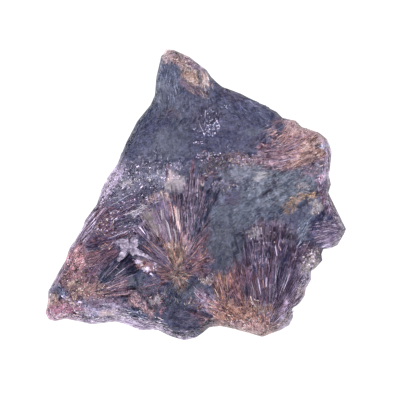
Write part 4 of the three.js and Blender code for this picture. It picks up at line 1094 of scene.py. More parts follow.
# Larger blades that lie over the strands, one by one
singleBlades = [
    # root x, y, tip x, y, width, mineral, rise
    # the star: the broad cleavage faces on its left, the cream blade, then its narrow rays
    (-10.3, -11.5, -12.8, -5.2, 1.4, "sage", 0.1), (-9.2, -10, -11.1, -3.8, 1.2, "cleavage", 0.1),
    (-8.7, -8.5, -9.1, -3.2, 1.5, "cleavage", 0.12), (-6.8, -13, -8.4, -6.8, 1.7, "cleavage", 0.12),
    (-5.3, -13.2, -6.3, -8.8, 1, "cleavage", 0.12), (-4.2, -10.4, -5.1, -2.8, 1.6, "tan", 0.25),
    (-4.8, -7.2, -5.2, -3.4, 0.6, "cream", 0.4),
    (-5.9, -7.5, -6.7, -2.6, 0.5, "rosy", 0.2), (-3.9, -10, -3.8, -2.8, 0.3, "maroon", 0.25),
    (-2.8, -9, -2.9, -4.2, 0.35, "milky", 0.25), (-2.2, -10.5, -2.1, -3, 0.3, "mauve", 0.25),
    (-1.5, -11.5, -1.5, -2.5, 0.35, "indigo", 0.3), (-1.1, -6, -1.1, -3, 0.25, "milky", 0.25),
    (-0.3, -9.5, -0.2, -4.5, 0.3, "mauve", 0.25), (0.4, -0.5, 0.4, 1.8, 0.4, "white", 0.3),
    (-1.3, -2, -1.2, 8.5, 0.2, "mauve", 0.25), (0.9, -10, 1.4, -5, 0.3, "indigo", 0.25),
    (1.5, -9.8, 2.1, -7.2, 0.3, "milky", 0.25), (0.8, -5, 2.6, 2, 0.28, "mauve", 0.25),
    (-3.1, -17.5, 0.2, -11.8, 0.4, "mauve", 0.25), (-2, -15.5, 1.3, -11, 0.35, "maroon", 0.25),
    (-3.4, -14, -3.4, -11.5, 0.4, "tan", 0.25), (-4.1, -16, -4.7, -13.2, 0.5, "tan", 0.2),
    (-6, -14.8, -7.9, -14, 0.7, "cream", 0.25), (-1.8, -18, 1.6, -13.5, 0.35, "brown", 0.25),
    (-1, -19.5, 3, -17, 0.3, "rosy", 0.25), (-2.5, -21.5, 1.5, -20.4, 0.3, "brown", 0.25),
    (-6.2, -20.6, -16.6, -15, 0.45, "mauve", 0.3), (-7, -18.8, -12.6, -13.8, 0.4, "plum", 0.3),
    (-7, -18, -12.2, -13, 0.3, "mauve", 0.3), (-8, -19, -13, -15.5, 0.35, "hollow", 0.3),
    (-7, -22, -10.5, -21.7, 0.3, "rosy", 0.25), (-4.7, -23.3, -3.5, -26.8, 0.25, "tan", 0.25),
    (-5.2, -23.5, -5.4, -26.5, 0.3, "olive", 0.25), (-4, -23, -1.5, -25.3, 0.3, "olive", 0.25),
    # hatched laths left of the star
    (-13.8, -11, -15.8, -8.5, 0.45, "white", 0.4), (-12.6, -12.4, -13.4, -10.7, 0.35, "milky", 0.3),
    (-12.2, -12.5, -14.8, -8, 0.3, "plum", 0.3), (-14.2, -12, -16.8, -8.8, 0.3, "plum", 0.3),
    (-10.8, -12.5, -12.4, -9.8, 0.35, "rosy", 0.25),
    # the lower right fan
    (16.7, -28.4, 15.4, -23.4, 0.3, "paleGreen", 0.35), (18.1, -27.8, 17.2, -22.8, 0.45, "milky", 0.35),
    (17.2, -27, 16.5, -23, 0.35, "hollow", 0.35), (18.6, -23.5, 18.4, -19.5, 0.25, "mauve", 0.3),
    (19.6, -25.5, 19.6, -22.6, 0.65, "white", 0.5), (18.9, -25.8, 18.8, -23.2, 0.45, "rust", 0.45),
    (20.5, -29, 20.6, -24.4, 0.25, "milky", 0.3), (21.4, -28.5, 22.3, -18, 0.2, "mauve", 0.3),
    (22.3, -28.4, 22.5, -26.8, 0.3, "white", 0.35), (20.9, -30, 23.3, -18.5, 0.35, "indigo", 0.3),
    (22.8, -28, 25.3, -18.5, 0.2, "mauve", 0.3), (23, -28, 25.6, -21, 0.4, "hollow", 0.3),
    (24.1, -26.6, 26.2, -21, 0.28, "milky", 0.35), (23.6, -28.5, 27.3, -21.5, 0.28, "plum", 0.3),
    (24.4, -31.3, 28.4, -26, 0.25, "mauve", 0.3), (25.2, -31.8, 29.2, -27.2, 0.22, "white", 0.35),
    (25.6, -32.2, 29.8, -28, 0.22, "milky", 0.35), (24.8, -31, 28, -26.8, 0.2, "hollow", 0.3),
    (25.8, -34.4, 27.3, -32, 0.32, "white", 0.4), (24, -33, 28.3, -29.8, 0.25, "mauve", 0.3),
    (15, -33, 12.3, -21.5, 0.3, "maroon", 0.3), (13.8, -32, 10.8, -22.5, 0.3, "brown", 0.3),
    (9.6, -30, 8.4, -23.4, 0.25, "golden", 0.3), (8.8, -29.5, 7.2, -24.3, 0.22, "maroon", 0.3),
    (8, -29, 6.2, -24, 0.22, "golden", 0.3), (6.5, -28.4, 5.2, -25.6, 0.25, "cream", 0.3),
    (12, -32.5, 9.7, -26, 0.25, "maroon", 0.3), (14, -30, 13.2, -24, 0.25, "mauve", 0.3),
    (16.8, -31, 15.7, -29.3, 0.5, "cream", 0.45), (16.5, -29.1, 17.7, -29.3, 0.45, "cream", 0.5),
    (15.6, -29.4, 15.1, -27.8, 0.35, "cream", 0.4), (18.1, -11, 18.3, -8.8, 0.35, "white", 0.4),
    (22.6, -17, 22, -13.8, 0.5, "white", 0.4), (23.6, -15.5, 22.9, -13.5, 0.4, "salmon", 0.4),
    (16.3, -12.5, 15.9, -9.5, 0.35, "paleGreen", 0.35),
    # the shoulder
    (36, 13.5, 27.5, 8.8, 0.35, "golden", 0.3), (34.5, 11, 26, 7.6, 0.3, "maroon", 0.3),
    (33.5, 10.8, 24.5, 8.5, 0.3, "rosy", 0.3), (32, 10.5, 22, 9, 0.28, "milky", 0.3),
    (32, 12, 20.5, 10.6, 0.3, "rosy", 0.3), (29.5, 12.8, 19, 11.6, 0.28, "maroon", 0.3),
    (29.5, 16, 23.8, 13, 0.28, "mauve", 0.3), (30, 15, 24.5, 12, 0.28, "milky", 0.3),
    (30.5, 17.5, 26, 14.8, 0.28, "rosy", 0.3), (28.6, 20, 27, 17, 0.3, "tan", 0.3),
    (31, 18.5, 29, 15, 0.3, "tan", 0.3), (27.5, 8.8, 19, 7.7, 0.28, "mauve", 0.3),
    (26, 9.8, 18, 9.4, 0.25, "milky", 0.3), (25.2, 19.5, 21.8, 17.6, 0.25, "steel", 0.25),
    # the columns and laths of the left
    (-33, -12.5, -28.2, -4.5, 0.35, "milky", 0.35), (-32, -12.5, -27, -4, 0.4, "plum", 0.35),
    (-31, -12.5, -26.5, -5, 0.3, "mauve", 0.35), (-30, -12, -26, -5.5, 0.35, "indigo", 0.3),
    (-31.6, -12.4, -28.2, -9.1, 0.4, "white", 0.45), (-30.1, -10, -27.1, -6.7, 0.35, "white", 0.45),
    (-30.6, -11.6, -27.4, -8.2, 0.3, "hollow", 0.35), (-29.2, -8, -26.8, -5, 0.3, "white", 0.4),
    (-34.3, -14.5, -30.5, -8, 0.35, "white", 0.3), (-29, -10, -26, -4, 0.3, "milky", 0.3),
    (-24, -12, -18, -9.5, 0.28, "milky", 0.3), (-24.5, -11, -18.5, -8.8, 0.3, "plum", 0.3),
    (-22.5, -8.7, -17, -6, 0.28, "mauve", 0.3), (-24, -3.2, -17.8, 0.4, 0.35, "frost", 0.3),
    (-22, -5.5, -16.5, -2.6, 0.3, "maroon", 0.3), (-18.8, -5.6, -13.4, -3, 0.45, "paleGreen", 0.3),
    (-25.5, -6, -21.8, -3.8, 0.3, "mauve", 0.3), (-20, -7.8, -15, -6, 0.28, "indigo", 0.3),
    # the fine lines of the lower left fan
    (-26.2, -23.2, -22.5, -18.7, 0.2, "milky", 0.4), (-25.7, -22.9, -21.9, -18.8, 0.25, "hollow", 0.3),
    (-25, -22.8, -20.9, -18.7, 0.2, "mauve", 0.4), (-22.3, -22.3, -19.1, -19.9, 0.24, "milky", 0.4),
    (-22.3, -19.7, -20.9, -20.8, 0.18, "mauve", 0.35), (-23, -23.4, -18.4, -20.7, 0.15, "mauve", 0.3),
    (-23.8, -23.9, -17.6, -20.9, 0.2, "milky", 0.4),
    (-23.4, -24.7, -16.1, -21.7, 0.24, "milky", 0.35),
    (-25.4, -24.8, -23, -23.8, 0.3, "milky", 0.3), (-25, -26.1, -18.8, -23.4, 0.22, "rosy", 0.3),
    (-24.6, -26.5, -18.4, -24.4, 0.22, "mauve", 0.3), (-24.4, -25.3, -20, -23.4, 0.2, "plum", 0.3),
    (-24.5, -27.9, -18, -27.2, 0.26, "rosy", 0.25), (-30.5, -18.6, -25, -17.2, 0.22, "mauve", 0.3),
    (-30.5, -17.4, -25, -15.6, 0.22, "maroon", 0.3), (-30.5, -19.6, -26, -19.8, 0.22, "mauve", 0.25),
    # the nose, the specks of the upper slate and the cap
    (34, -12, 40.3, -11.3, 0.26, "white", 0.3), (33.5, -13, 39.5, -13, 0.26, "milky", 0.3),
    (35, -11, 41, -9.8, 0.26, "mauve", 0.3), (35.5, -9.6, 40.8, -8, 0.26, "milky", 0.3),
    (36, -8.3, 40, -6.3, 0.26, "mauve", 0.3), (2.6, 21.5, 2.8, 23.8, 0.18, "white", 0.15),
    (1, 20, 2.3, 17.2, 0.16, "white", 0.15), (1.6, 34.8, 3, 30.5, 0.26, "tan", 0.2),
    (2.8, 34, 3.5, 30.2, 0.3, "tan", 0.3), (-3.8, 31.2, -0.5, 30.4, 0.3, "cream", 0.3),
]


bladeShape = {
    "stations": 7,
    "swell": ((0, 0.3), (0.15, 0.7), (0.7, 1), (0.92, 0.85), (1, 0.25)),  # share of the length, of the width
    "profile": ((-0.5, -1), (-0.42, 0.55), (-0.2, 1), (0.26, 0.9), (0.46, 0.4), (0.5, -1)),  # across, up
    "sink": 0.7,  # mm below the ground
    "bow": 0.012,  # sideways, as a share of the length
    "lean": 16,  # degrees
    "tipHeight": 0.3,  # as a share of the rise
    "follow": (0.8, 0.2),  # how much it follows the ground, and the straight line between its ends
    "contrast": 0.8,
    "shades": (-0.9, 0.4),  # from the mineral's painted shade at -1 to its bright cleavage, partly a painted glint, at 1
    "mottle": (0.3, 1.3),  # strength and size
    "light": (0.66, 0.38),  # of its top and of its sides: the sides painted darker as shade
    "broad": 1,  # blades wider than this differ less from one another
    "broadContrast": 0.35,
}


def buildSingleBlades(material, rng):
    # each blade is a flat-topped profile carried from root to tip over the ground: its width swells from
    # the root, holds, and closes at a chisel tip
    rootX, rootY, tipX, tipY, width, names, rise = [np.array(column) for column in zip(*singleBlades)]
    which = numbersOf(" ".join(names))
    count, stations = len(rootX), bladeShape["stations"]
    along = np.linspace(0, 1, stations)
    swell = np.interp(along, *zip(*bladeShape["swell"]))
    length = np.hypot(tipX - rootX, tipY - rootY)
    sideX, sideY = -(tipY - rootY) / length, (tipX - rootX) / length
    bow = bladeShape["bow"] * length * rng.standard_normal(count)
    arch = np.sin(along * math.pi)
    pathX = rootX[:, None] + (tipX - rootX)[:, None] * along + (bow * sideX)[:, None] * arch
    pathY = rootY[:, None] + (tipY - rootY)[:, None] * along + (bow * sideY)[:, None] * arch
    ground = groundHeight(pathX, pathY)
    line = ground[:, :1] * (1 - along) + ground[:, -1:] * along
    groundShare, lineShare = bladeShape["follow"]
    pathZ = groundShare * ground + lineShare * line
    profile = np.array(bladeShape["profile"])
    across = profile[:, 0] * width[:, None, None] * swell[:, None]
    tall = rise[:, None, None] * np.where(along == 1, bladeShape["tipHeight"], 1)[:, None]
    up = np.where(profile[:, 1] > 0, profile[:, 1] * tall, -bladeShape["sink"])
    lean = np.radians(bladeShape["lean"] * rng.standard_normal(count).clip(-1.5, 1.5))[:, None, None]
    turned, lifted = across * np.cos(lean) - up * np.sin(lean), across * np.sin(lean) + up * np.cos(lean)
    points = sweptPoints(pathX, pathY, pathZ, sideX, sideY, turned, lifted)
    draw = rng.uniform(*bladeShape["shades"], count)
    draw = draw * np.where(width > bladeShape["broad"], bladeShape["broadContrast"], 1)
    tone = drawShades(which, bladeShape["contrast"], draw)[:, None, :]
    strength, size = bladeShape["mottle"]
    run, number = along * length[:, None], np.arange(count)[:, None]
    mottle = 1 + strength * noise(run / size, which[:, None] + 3.7 * number)
    # painted shade: the sides are darker than the top
    light = np.where(profile[:, 1] > 0, *bladeShape["light"])
    tint = tone[:, :, None, :] * mottle[:, :, None, None] * light[None, None, :, None]
    strand = np.stack(np.broadcast_arrays(run[:, :, None], across, 1.7 * number[:, :, None]), axis=-1)
    return meshPiece("single_blades", points.reshape(-1, 3), sweptFaces(count, stations, len(profile)),
                     tint.reshape(-1, 3), material, smooth=False,
                     strand=strand.reshape(-1, 3))


# The crust as bars of pale mineral: its mineral, then the half width in mm at each point of its path
crustBars = (
    ("crust", (
        (-22.8, -12.8, 0.5), (-21.4, -13.2, 1.1), (-19.8, -13.8, 1.9), (-18.3, -13.9, 2.1),
        (-16.9, -13.3, 1.5), (-16, -12.2, 0.7))),
    ("crust", (
        (-21.8, -12.5, 0.5), (-19.8, -12.8, 1.3), (-18.3, -12.8, 1.5), (-17, -12.4, 1.2),
        (-15.7, -11.4, 0.4))),
    ("crust", ((-19.2, -15.2, 1), (-20.4, -17, 0.7), (-21.6, -18.3, 0.5))),
    ("crust", ((-18.2, -15, 1.1), (-16, -15.8, 0.9), (-13.8, -16.9, 0.7), (-11, -18.3, 0.4))),
    ("milky", ((-16.8, -18.1, 0.25), (-15.8, -18.6, 0.5), (-14.9, -19.1, 0.25))),
    ("milky", ((-14.9, -20.3, 0.2), (-13.8, -20.5, 0.5), (-12.8, -20.6, 0.25))),
)


crust = {
    "stations": 44,
    "sides": 28,
    "leftEnd": (-24.0, -13.0),  # the skin bridges the hollow in a plane between the ground at these places
    "rightEnd": (-9.0, -16.0),
    "sunk": 0.3,  # mm
    "thickness": 0.9,
    "flatness": 0.8,
    "ragged": 0.4,
    "lobes": 0.3,
    "ends": 6,  # higher makes them blunter
    "facets": (0.4, 0.8),  # strength and size
    "grains": (0.4, 0.9),
    "streaks": 0.5,
    "light": 0.8,
    "bright": 1.6,  # how strongly its texture lightens it
    "dark": (2.1, 0.15),  # how strongly it darkens it, and how much of it doesn't
}


def buildCrust(material):
    # each bar is an oval profile carried along its path: half width across, crust thickness deep, with
    # its upper side ragged by facets and fine noise
    allPoints, allColours = [], []
    stations, sides = crust["stations"], crust["sides"]
    (facetShare, facetSize), (grainShare, grainSize) = crust["facets"], crust["grains"]
    roundProfile = np.arange(sides) * 2 * math.pi / sides
    (leftX, leftY), (rightX, rightY) = crust["leftEnd"], crust["rightEnd"]
    left, right = faceHeight(np.array(leftX), np.array(leftY)), faceHeight(np.array(rightX), np.array(rightY))
    for mineral, bar in crustBars:
        x, y, half = np.array(bar).T
        place = np.linspace(0, len(bar) - 1, stations)
        knots = np.arange(len(bar))
        pathX, pathY, reach = [np.interp(place, knots, values) for values in (x, y, half)]
        reach = reach * np.sqrt(np.clip(1 - (2 * place / place[-1] - 1) ** crust["ends"], 0.02, 1))
        reach = reach * (1 + crust["lobes"] * noise(place * 2.3 + x[0], place * 0 + y[0]))
        wayX, wayY = np.gradient(pathX), np.gradient(pathY)
        length = np.hypot(wayX, wayY)
        across = reach[:, None] * np.cos(roundProfile) * (
            1 + crust["lobes"] * noise(place[:, None] * 7 + roundProfile[None, :], roundProfile[None, :] * 2))
        deep = crust["thickness"] * np.sin(roundProfile)[None, :] * np.minimum(1, reach[:, None])
        pointX = pathX[:, None] - wayY[:, None] / length[:, None] * across
        pointY = pathY[:, None] + wayX[:, None] / length[:, None] * across
        streaks = noise(place[:, None] * 2.2 + x[0], roundProfile[None, :] * 4 + y[0])
        texture = facetShare * facets(pointX, pointY, facetSize, 6)
        texture = texture + grainShare * layered(pointX, pointY, grainSize, 3, 7) + crust["streaks"] * streaks
        plane = left + (right - left) * (pointX - leftX) / (rightX - leftX)
        plane = np.maximum(plane, groundHeight(pointX, pointY) - 0.1)
        pointZ = plane - crust["sunk"] + crust["flatness"] * deep + crust["ragged"] * texture * (deep > 0)
        body, bright, deepTone = crust["light"] * palette[mineral]
        colour = mixed(np.broadcast_to(body, texture.shape + (3,)), bright,
                       np.clip(crust["bright"] * texture, 0, 1))
        strength, floor = crust["dark"]
        allColours.append(mixed(colour, deepTone, np.clip(-strength * texture - floor, 0, 1)))
        allPoints.append(np.stack([pointX, pointY, pointZ], axis=-1))
    skin, caps = sweptFaces(len(crustBars), stations, sides)
    faces = [np.roll(skin[:, ::-1], 1, axis=1), caps[:, ::-1]]  # this profile runs the other way round
    return meshPiece("pale_crust", np.reshape(allPoints, (-1, 3)), faces, np.reshape(allColours, (-1, 3)),
                     material)


# Chips and laths broken out over the face, by region
chipFields = (
    # x, y, half length, half width, heading, count, size, stretch, lie (None any), minerals
    (3.5, 19.5, 4.8, 3.4, 60, 120, 0.13, 1.7, None, "frost steel"),
    (4.6, 18.6, 3, 2.2, 60, 46, 0.17, 1.6, None, "white frost"),
    (8.5, 24.4, 2.2, 0.6, 20, 12, 0.12, 1.8, None, "frost"),
    (-0.4, 18.4, 0.5, 0.4, 0, 4, 0.14, 1.5, None, "frost"),
    (0.8, 14.3, 1.8, 0.5, 10, 14, 0.15, 1.8, 20, "milky"),
    (9.3, 13.4, 0.5, 0.3, 0, 5, 0.14, 1.4, None, "frost"),
    (-16, 3.5, 9, 5, 28, 260, 0.14, 2.6, 35, "milky white speckled hollow"),
    (-24, 2.5, 7, 1.6, 62, 110, 0.18, 1.6, 60, "white milky"),
    (-5.5, 8, 3, 1.2, 0, 40, 0.15, 1.8, 10, "milky frost"),
    (-5.6, 4.8, 2.2, 0.6, 10, 20, 0.2, 1.5, None, "milky cream"),
    (4, 10.5, 4, 1.6, 0, 90, 0.15, 1.7, None, "milky speckled"),
    (15, 9.4, 6.5, 1.9, 0, 150, 0.14, 1.7, None, "milky cream olive"),
    (20.5, -10.8, 6.5, 2.8, 0, 120, 0.16, 1.8, 80, "milky tan speckled"),
    (32, -18.5, 3.6, 2.6, 60, 110, 0.25, 1.5, None, "greyGrain white cream hollow"),
    (31.4, -20.2, 1.4, 1, 30, 26, 0.24, 1.5, None, "white"),
    (29.6, -24.6, 2.4, 1.4, 60, 34, 0.18, 1.6, 60, "milky mauve"),
    (16, -35.6, 7.5, 2.4, -6, 80, 0.14, 1.7, None, "cream tan rosy"),
    (16.2, -29.8, 1.4, 0.8, -50, 8, 0.2, 1.8, -50, "cream white"),
    (-29, -26.8, 5.5, 2.6, 8, 80, 0.13, 1.7, None, "cream tan olive"),
    (-34.5, -22, 4, 3, 45, 50, 0.12, 1.6, None, "tan olive"),
    (-32, -29.7, 0.5, 0.4, 0, 4, 0.24, 1.3, None, "white"),
    (-36.4, -28.3, 1.4, 0.4, -50, 10, 0.2, 1.6, -50, "white cream"),
    (-36, -34, 5, 0.8, 0, 40, 0.18, 1.6, 4, "white milky"),
    (3, -23.4, 3.4, 0.7, 4, 22, 0.12, 1.6, None, "milky cream"),
    (-17.5, -31.8, 3, 0.7, -18, 26, 0.14, 1.6, None, "milky frost"),
    (-15.4, -29.6, 2.6, 1.4, -55, 26, 0.15, 1.5, None, "tan maroon"),
    (-10.5, -29, 4.5, 2.6, -15, 70, 0.17, 1.6, None, "tan hollow indigo maroon"),
    (10.8, -4.1, 0.25, 0.25, 0, 3, 0.2, 1.2, None, "white"),
    (-15, -19, 2.4, 0.8, -30, 24, 0.26, 1.8, None, "white cream brown maroon"),
    (-13.5, -20.6, 1.4, 0.5, -8, 26, 0.3, 1.6, None, "white cream"),
    (-11.3, -19.6, 0.5, 0.8, 0, 9, 0.26, 1.6, None, "white milky"),
    (-12.1, -21.9, 0.6, 0.25, -50, 7, 0.22, 1.6, None, "white"),
    (-15.4, -29.4, 2.2, 1.1, -50, 30, 0.22, 1.3, None, "maroon hollow"),
    (35.4, 13.4, 0.7, 0.6, 0, 8, 0.22, 1.3, None, "frost white"),
    (35, 4.5, 1.5, 0.9, 30, 24, 0.2, 1.4, None, "white cherry"),
    (33.5, -4.2, 1.6, 1, -50, 16, 0.18, 1.5, None, "cream milky"),
    (-6, 38.2, 3.6, 1.6, -24, 60, 0.17, 1.5, None, "cream tan maroon"),
    (-16, -4.4, 3, 0.8, 25, 30, 0.17, 1.7, 25, "milky paleGreen"),
    (-24.6, -14.8, 1.4, 0.5, 10, 12, 0.17, 1.8, 12, "cream tan rust"),
    (-20.5, -7.5, 8, 4.5, 28, 90, 0.17, 2.2, 32, "milky white hollow"),
)


chips = {
    "seed": 11,
    "rim": 0.955,  # none lie further out than this share
    "sink": 0.5,  # mm
    "sizes": (0.5, 0.9),  # least, and how much more by chance, as are the next two
    "tallness": (0.35, 0.6),
    "corners": (0.6, 0.8),
    "smallCurve": 2,  # higher makes large chips rarer
    "jitter": (0.3, 0.2),  # of its shape and of single corners
    "contrast": 0.8,
    "shades": (-0.9, 0.7),
    "top": 0.62,  # size of the upper ring, as a share of the lower
    # painted shade: how light a chip's foot is beside its top
    "footLight": 0.5,
    "straying": 14,  # degrees off the lie
}


def buildChips(material):
    # a chip is a low lump: two rings of four corners, the upper one smaller, raised and shifted
    rng = np.random.default_rng(chips["seed"])
    centres, sizes, stretches, turns, colours = [], [], [], [], []
    for x, y, halfLength, halfWidth, heading, count, size, stretch, lie, names in chipFields:
        reach, angle = np.sqrt(rng.random(count)), rng.random(count) * 2 * math.pi
        placeX, placeY = reached(x, y, math.radians(heading), reach * np.cos(angle) * halfLength,
                                 reach * np.sin(angle) * halfWidth)
        inside = ringShare(placeX, placeY) < chips["rim"]
        placeX, placeY, count = placeX[inside], placeY[inside], int(inside.sum())
        centres.append(np.column_stack([placeX, placeY]))
        sizes.append(size * spreadOut(rng, chips["sizes"], count, chips["smallCurve"]))
        stretches.append(1 + (stretch - 1) * 2 * rng.random(count))
        turns.append(rng.random(count) * 2 * math.pi if lie is None
                     else np.radians(lie + chips["straying"] * rng.standard_normal(count)))
        kinds = numbersOf(names)
        which = kinds[rng.integers(0, len(kinds), count)]
        colours.append(drawShades(which, chips["contrast"], rng.uniform(*chips["shades"], count)))
    centres, sizes = np.vstack(centres), np.concatenate(sizes)
    stretches, turns, colours = np.concatenate(stretches), np.concatenate(turns), np.vstack(colours)
    count = len(centres)
    corner = np.array([(-1, -1), (1, -1), (1, 1), (-1, 1)], dtype=float)
    shapeJitter, cornerJitter = chips["jitter"]
    lower = corner * (1 + shapeJitter * rng.random((count, 4, 1)))
    upper = corner * chips["top"] + shapeJitter * (rng.random((count, 1, 2)) - 0.5)
    upper = upper + cornerJitter * (rng.random((count, 4, 2)) - 0.5)
    flat = np.concatenate([lower, upper], axis=1)
    pointX, pointY = reached(centres[:, :1], centres[:, 1:], turns[:, None],
                             flat[:, :, 0] * (sizes * stretches)[:, None], flat[:, :, 1] * sizes[:, None])
    level = (groundHeight(pointX, pointY) + groundHeight(*centres.T)[:, None]) / 2
    tall = sizes * spreadOut(rng, chips["tallness"], count)
    raised = tall[:, None] * spreadOut(rng, chips["corners"], (count, 4))
    lift = np.concatenate([np.full((count, 4), -chips["sink"]), raised], axis=1)
    points = np.stack([pointX, pointY, level + lift], axis=-1).reshape(-1, 3)
    base = np.arange(count)[:, None, None] * 8
    quads = np.array([(3, 2, 1, 0), (4, 5, 6, 7), (0, 1, 5, 4), (1, 2, 6, 5), (2, 3, 7, 6), (3, 0, 4, 7)])
    # painted shade at the foot of each chip, where it meets the ground
    light = np.array([chips["footLight"]] * 4 + [1] * 4)
    tint = colours[:, None] * light[None, :, None]
    return meshPiece("broken_chips", points, [(base + quads[None]).reshape(-1, 4)], tint.reshape(-1, 3),
                     material, smooth=False)


def addNode(tree, kind, inputs=None, stops=(), **settings):
    # one node: an input given as a socket is linked, anything else is set, and a colour ramp gets its
    # stops as pairs of position and grey level
    made = tree.nodes.new(kind)
    for key, value in settings.items():
        setattr(made, key, value)
    for key, value in (inputs or {}).items():
        if isinstance(value, bpy.types.NodeSocket):
            tree.links.new(value, made.inputs[key])
        else:
            made.inputs[key].default_value = value
    for _ in stops[2:]:  # a ramp is made with two stops
        made.color_ramp.elements.new(0.5)
    for number, (position, level) in enumerate(stops):
        made.color_ramp.elements[number].position = position
        made.color_ramp.elements[number].color = (level, level, level, 1)
    return made


def newMaterial(name):
    # an empty material and its node tree
    material = bpy.data.materials.new(name)
    material.use_nodes = True
    material.node_tree.nodes.clear()
    return material, material.node_tree


def perMetre(millimetres):
    # noise and Voronoi scale for a feature of this size
    return 1000 / millimetres


def finishMineral(tree, level, ior, rough, bump):
    # every mineral here: its point colours times a pattern, under a clear, unmetallic surface
    tint = addNode(tree, "ShaderNodeAttribute", attribute_name="tint").outputs["Color"]
    body = addNode(tree, "ShaderNodeMix", {"Factor": 1.0, "A": tint, "B": level}, data_type="RGBA",
                   blend_type="MULTIPLY")
    shader = addNode(tree, "ShaderNodeBsdfPrincipled", {
        "Base Color": body.outputs["Result"], "Roughness": rough, "IOR": ior, "Metallic": 0.0,
        "Normal": bump.outputs["Normal"]})
    addNode(tree, "ShaderNodeOutputMaterial", {"Surface": shader.outputs["BSDF"]})


def brokenRock():
    # broken fine-grained aegirine rock: matt, with tiny cleavage glints painted into its colour as bright
    # specks
    material, tree = newMaterial("broken_alkaline_rock")
    place = addNode(tree, "ShaderNodeTexCoord").outputs["Object"]
    # grains are near 0.1 mm, drawn at 0.45 mm so that they show
    grit = addNode(tree, "ShaderNodeTexNoise", {"Vector": place, "Scale": perMetre(0.9), "Detail": 5.0,
                                                "Roughness": 0.72}).outputs["Fac"]
    crumbs = addNode(tree, "ShaderNodeTexVoronoi", {"Vector": place, "Scale": perMetre(0.6)})
    level = addNode(tree, "ShaderNodeValToRGB", {"Fac": grit}, ((0.28, 0.5), (0.5, 0.95), (0.72, 1.7)))
    # painted glints: some random Voronoi cells are lifted up to 1.5 times in colour, others dimmed a little
    paintedGlints = addNode(tree, "ShaderNodeValToRGB", {"Fac": crumbs.outputs["Color"]},
                    ((0.0, 0.8), (0.62, 1.0), (0.8, 1.5)))
    level = addNode(tree, "ShaderNodeMix", {"Factor": 0.6, "A": level.outputs["Color"],
                                            "B": paintedGlints.outputs["Color"]}, data_type="RGBA",
                    blend_type="MULTIPLY")
    rough = addNode(tree, "ShaderNodeValToRGB", {"Fac": grit}, ((0.3, 0.72), (0.7, 0.45)))
    bump = addNode(tree, "ShaderNodeBump", {"Height": grit, "Strength": 0.7, "Distance": 0.0003})
    bump = addNode(tree, "ShaderNodeBump", {"Height": crumbs.outputs["Distance"], "Strength": 0.35,
                                            "Distance": 0.0002, "Normal": bump.outputs["Normal"]})
    finishMineral(tree, level.outputs["Result"], 1.6, rough.outputs["Color"], bump)
    return material


def silkyFibres():
    # fine lamprophyllite and aegirine fibres: silky, each with its own colour
    material, tree = newMaterial("silky_fibres")
    place = addNode(tree, "ShaderNodeTexCoord").outputs["Object"]
    # growth steps are near 0.05 mm, drawn at 0.4 mm so that they show
    steps = addNode(tree, "ShaderNodeTexNoise", {"Vector": place, "Scale": perMetre(0.5), "Detail": 3.0,
                                                 "Roughness": 0.6}).outputs["Fac"]
    level = addNode(tree, "ShaderNodeValToRGB", {"Fac": steps}, ((0.3, 0.7), (0.5, 1.0), (0.7, 1.35)))
    rough = addNode(tree, "ShaderNodeValToRGB", {"Fac": steps}, ((0.3, 0.55), (0.7, 0.38)))
    bump = addNode(tree, "ShaderNodeBump", {"Height": steps, "Strength": 0.4, "Distance": 0.0001})
    finishMineral(tree, level.outputs["Color"], 1.7, rough.outputs["Color"], bump)
    return material


def cleavedBlades():
    # lamprophyllite laths with perfect cleavage: silky, streaked along their length; the light streaks are
    # partly painted sheen
    material, tree = newMaterial("cleaved_lamprophyllite")
    strand = addNode(tree, "ShaderNodeAttribute", attribute_name="strand").outputs["Vector"]
    # cleavage lines lie about 0.05 mm apart, drawn at 0.25 mm so that they show
    stretched = addNode(tree, "ShaderNodeMapping", {"Vector": strand, "Scale": (0.22, 3.6, 1.0)})
    lines = addNode(tree, "ShaderNodeTexNoise", {"Vector": stretched.outputs["Vector"], "Scale": 1.0,
                                                 "Detail": 3.0, "Roughness": 0.6}).outputs["Fac"]
    # the streaks are partly cleavage lines and partly painted sheen, up to 1.6 times lighter
    level = addNode(tree, "ShaderNodeValToRGB", {"Fac": lines}, ((0.3, 0.6), (0.52, 1.0), (0.72, 1.6)))
    rough = addNode(tree, "ShaderNodeValToRGB", {"Fac": lines}, ((0.3, 0.5), (0.7, 0.32)))
    bump = addNode(tree, "ShaderNodeBump", {"Height": lines, "Strength": 0.5, "Distance": 0.00015})
    finishMineral(tree, level.outputs["Color"], 1.75, rough.outputs["Color"], bump)
    return material


def felsicGrains():
    # natrolite, feldspar and eudialyte: sugary grains, half translucent
    material, tree = newMaterial("sugary_felsic_grains")
    place = addNode(tree, "ShaderNodeTexCoord").outputs["Object"]
    # sugary grains are near 0.3 mm, drawn at 0.5 mm so that they show
    sugar = addNode(tree, "ShaderNodeTexVoronoi", {"Vector": place, "Scale": perMetre(0.5)})
    level = addNode(tree, "ShaderNodeValToRGB", {"Fac": sugar.outputs["Color"]},
                    ((0.1, 0.7), (0.5, 1.0), (0.9, 1.35)))
    bump = addNode(tree, "ShaderNodeBump", {"Height": sugar.outputs["Distance"], "Strength": 0.6,
                                            "Distance": 0.0003})
    finishMineral(tree, level.outputs["Color"], 1.54, 0.5, bump)
    return material


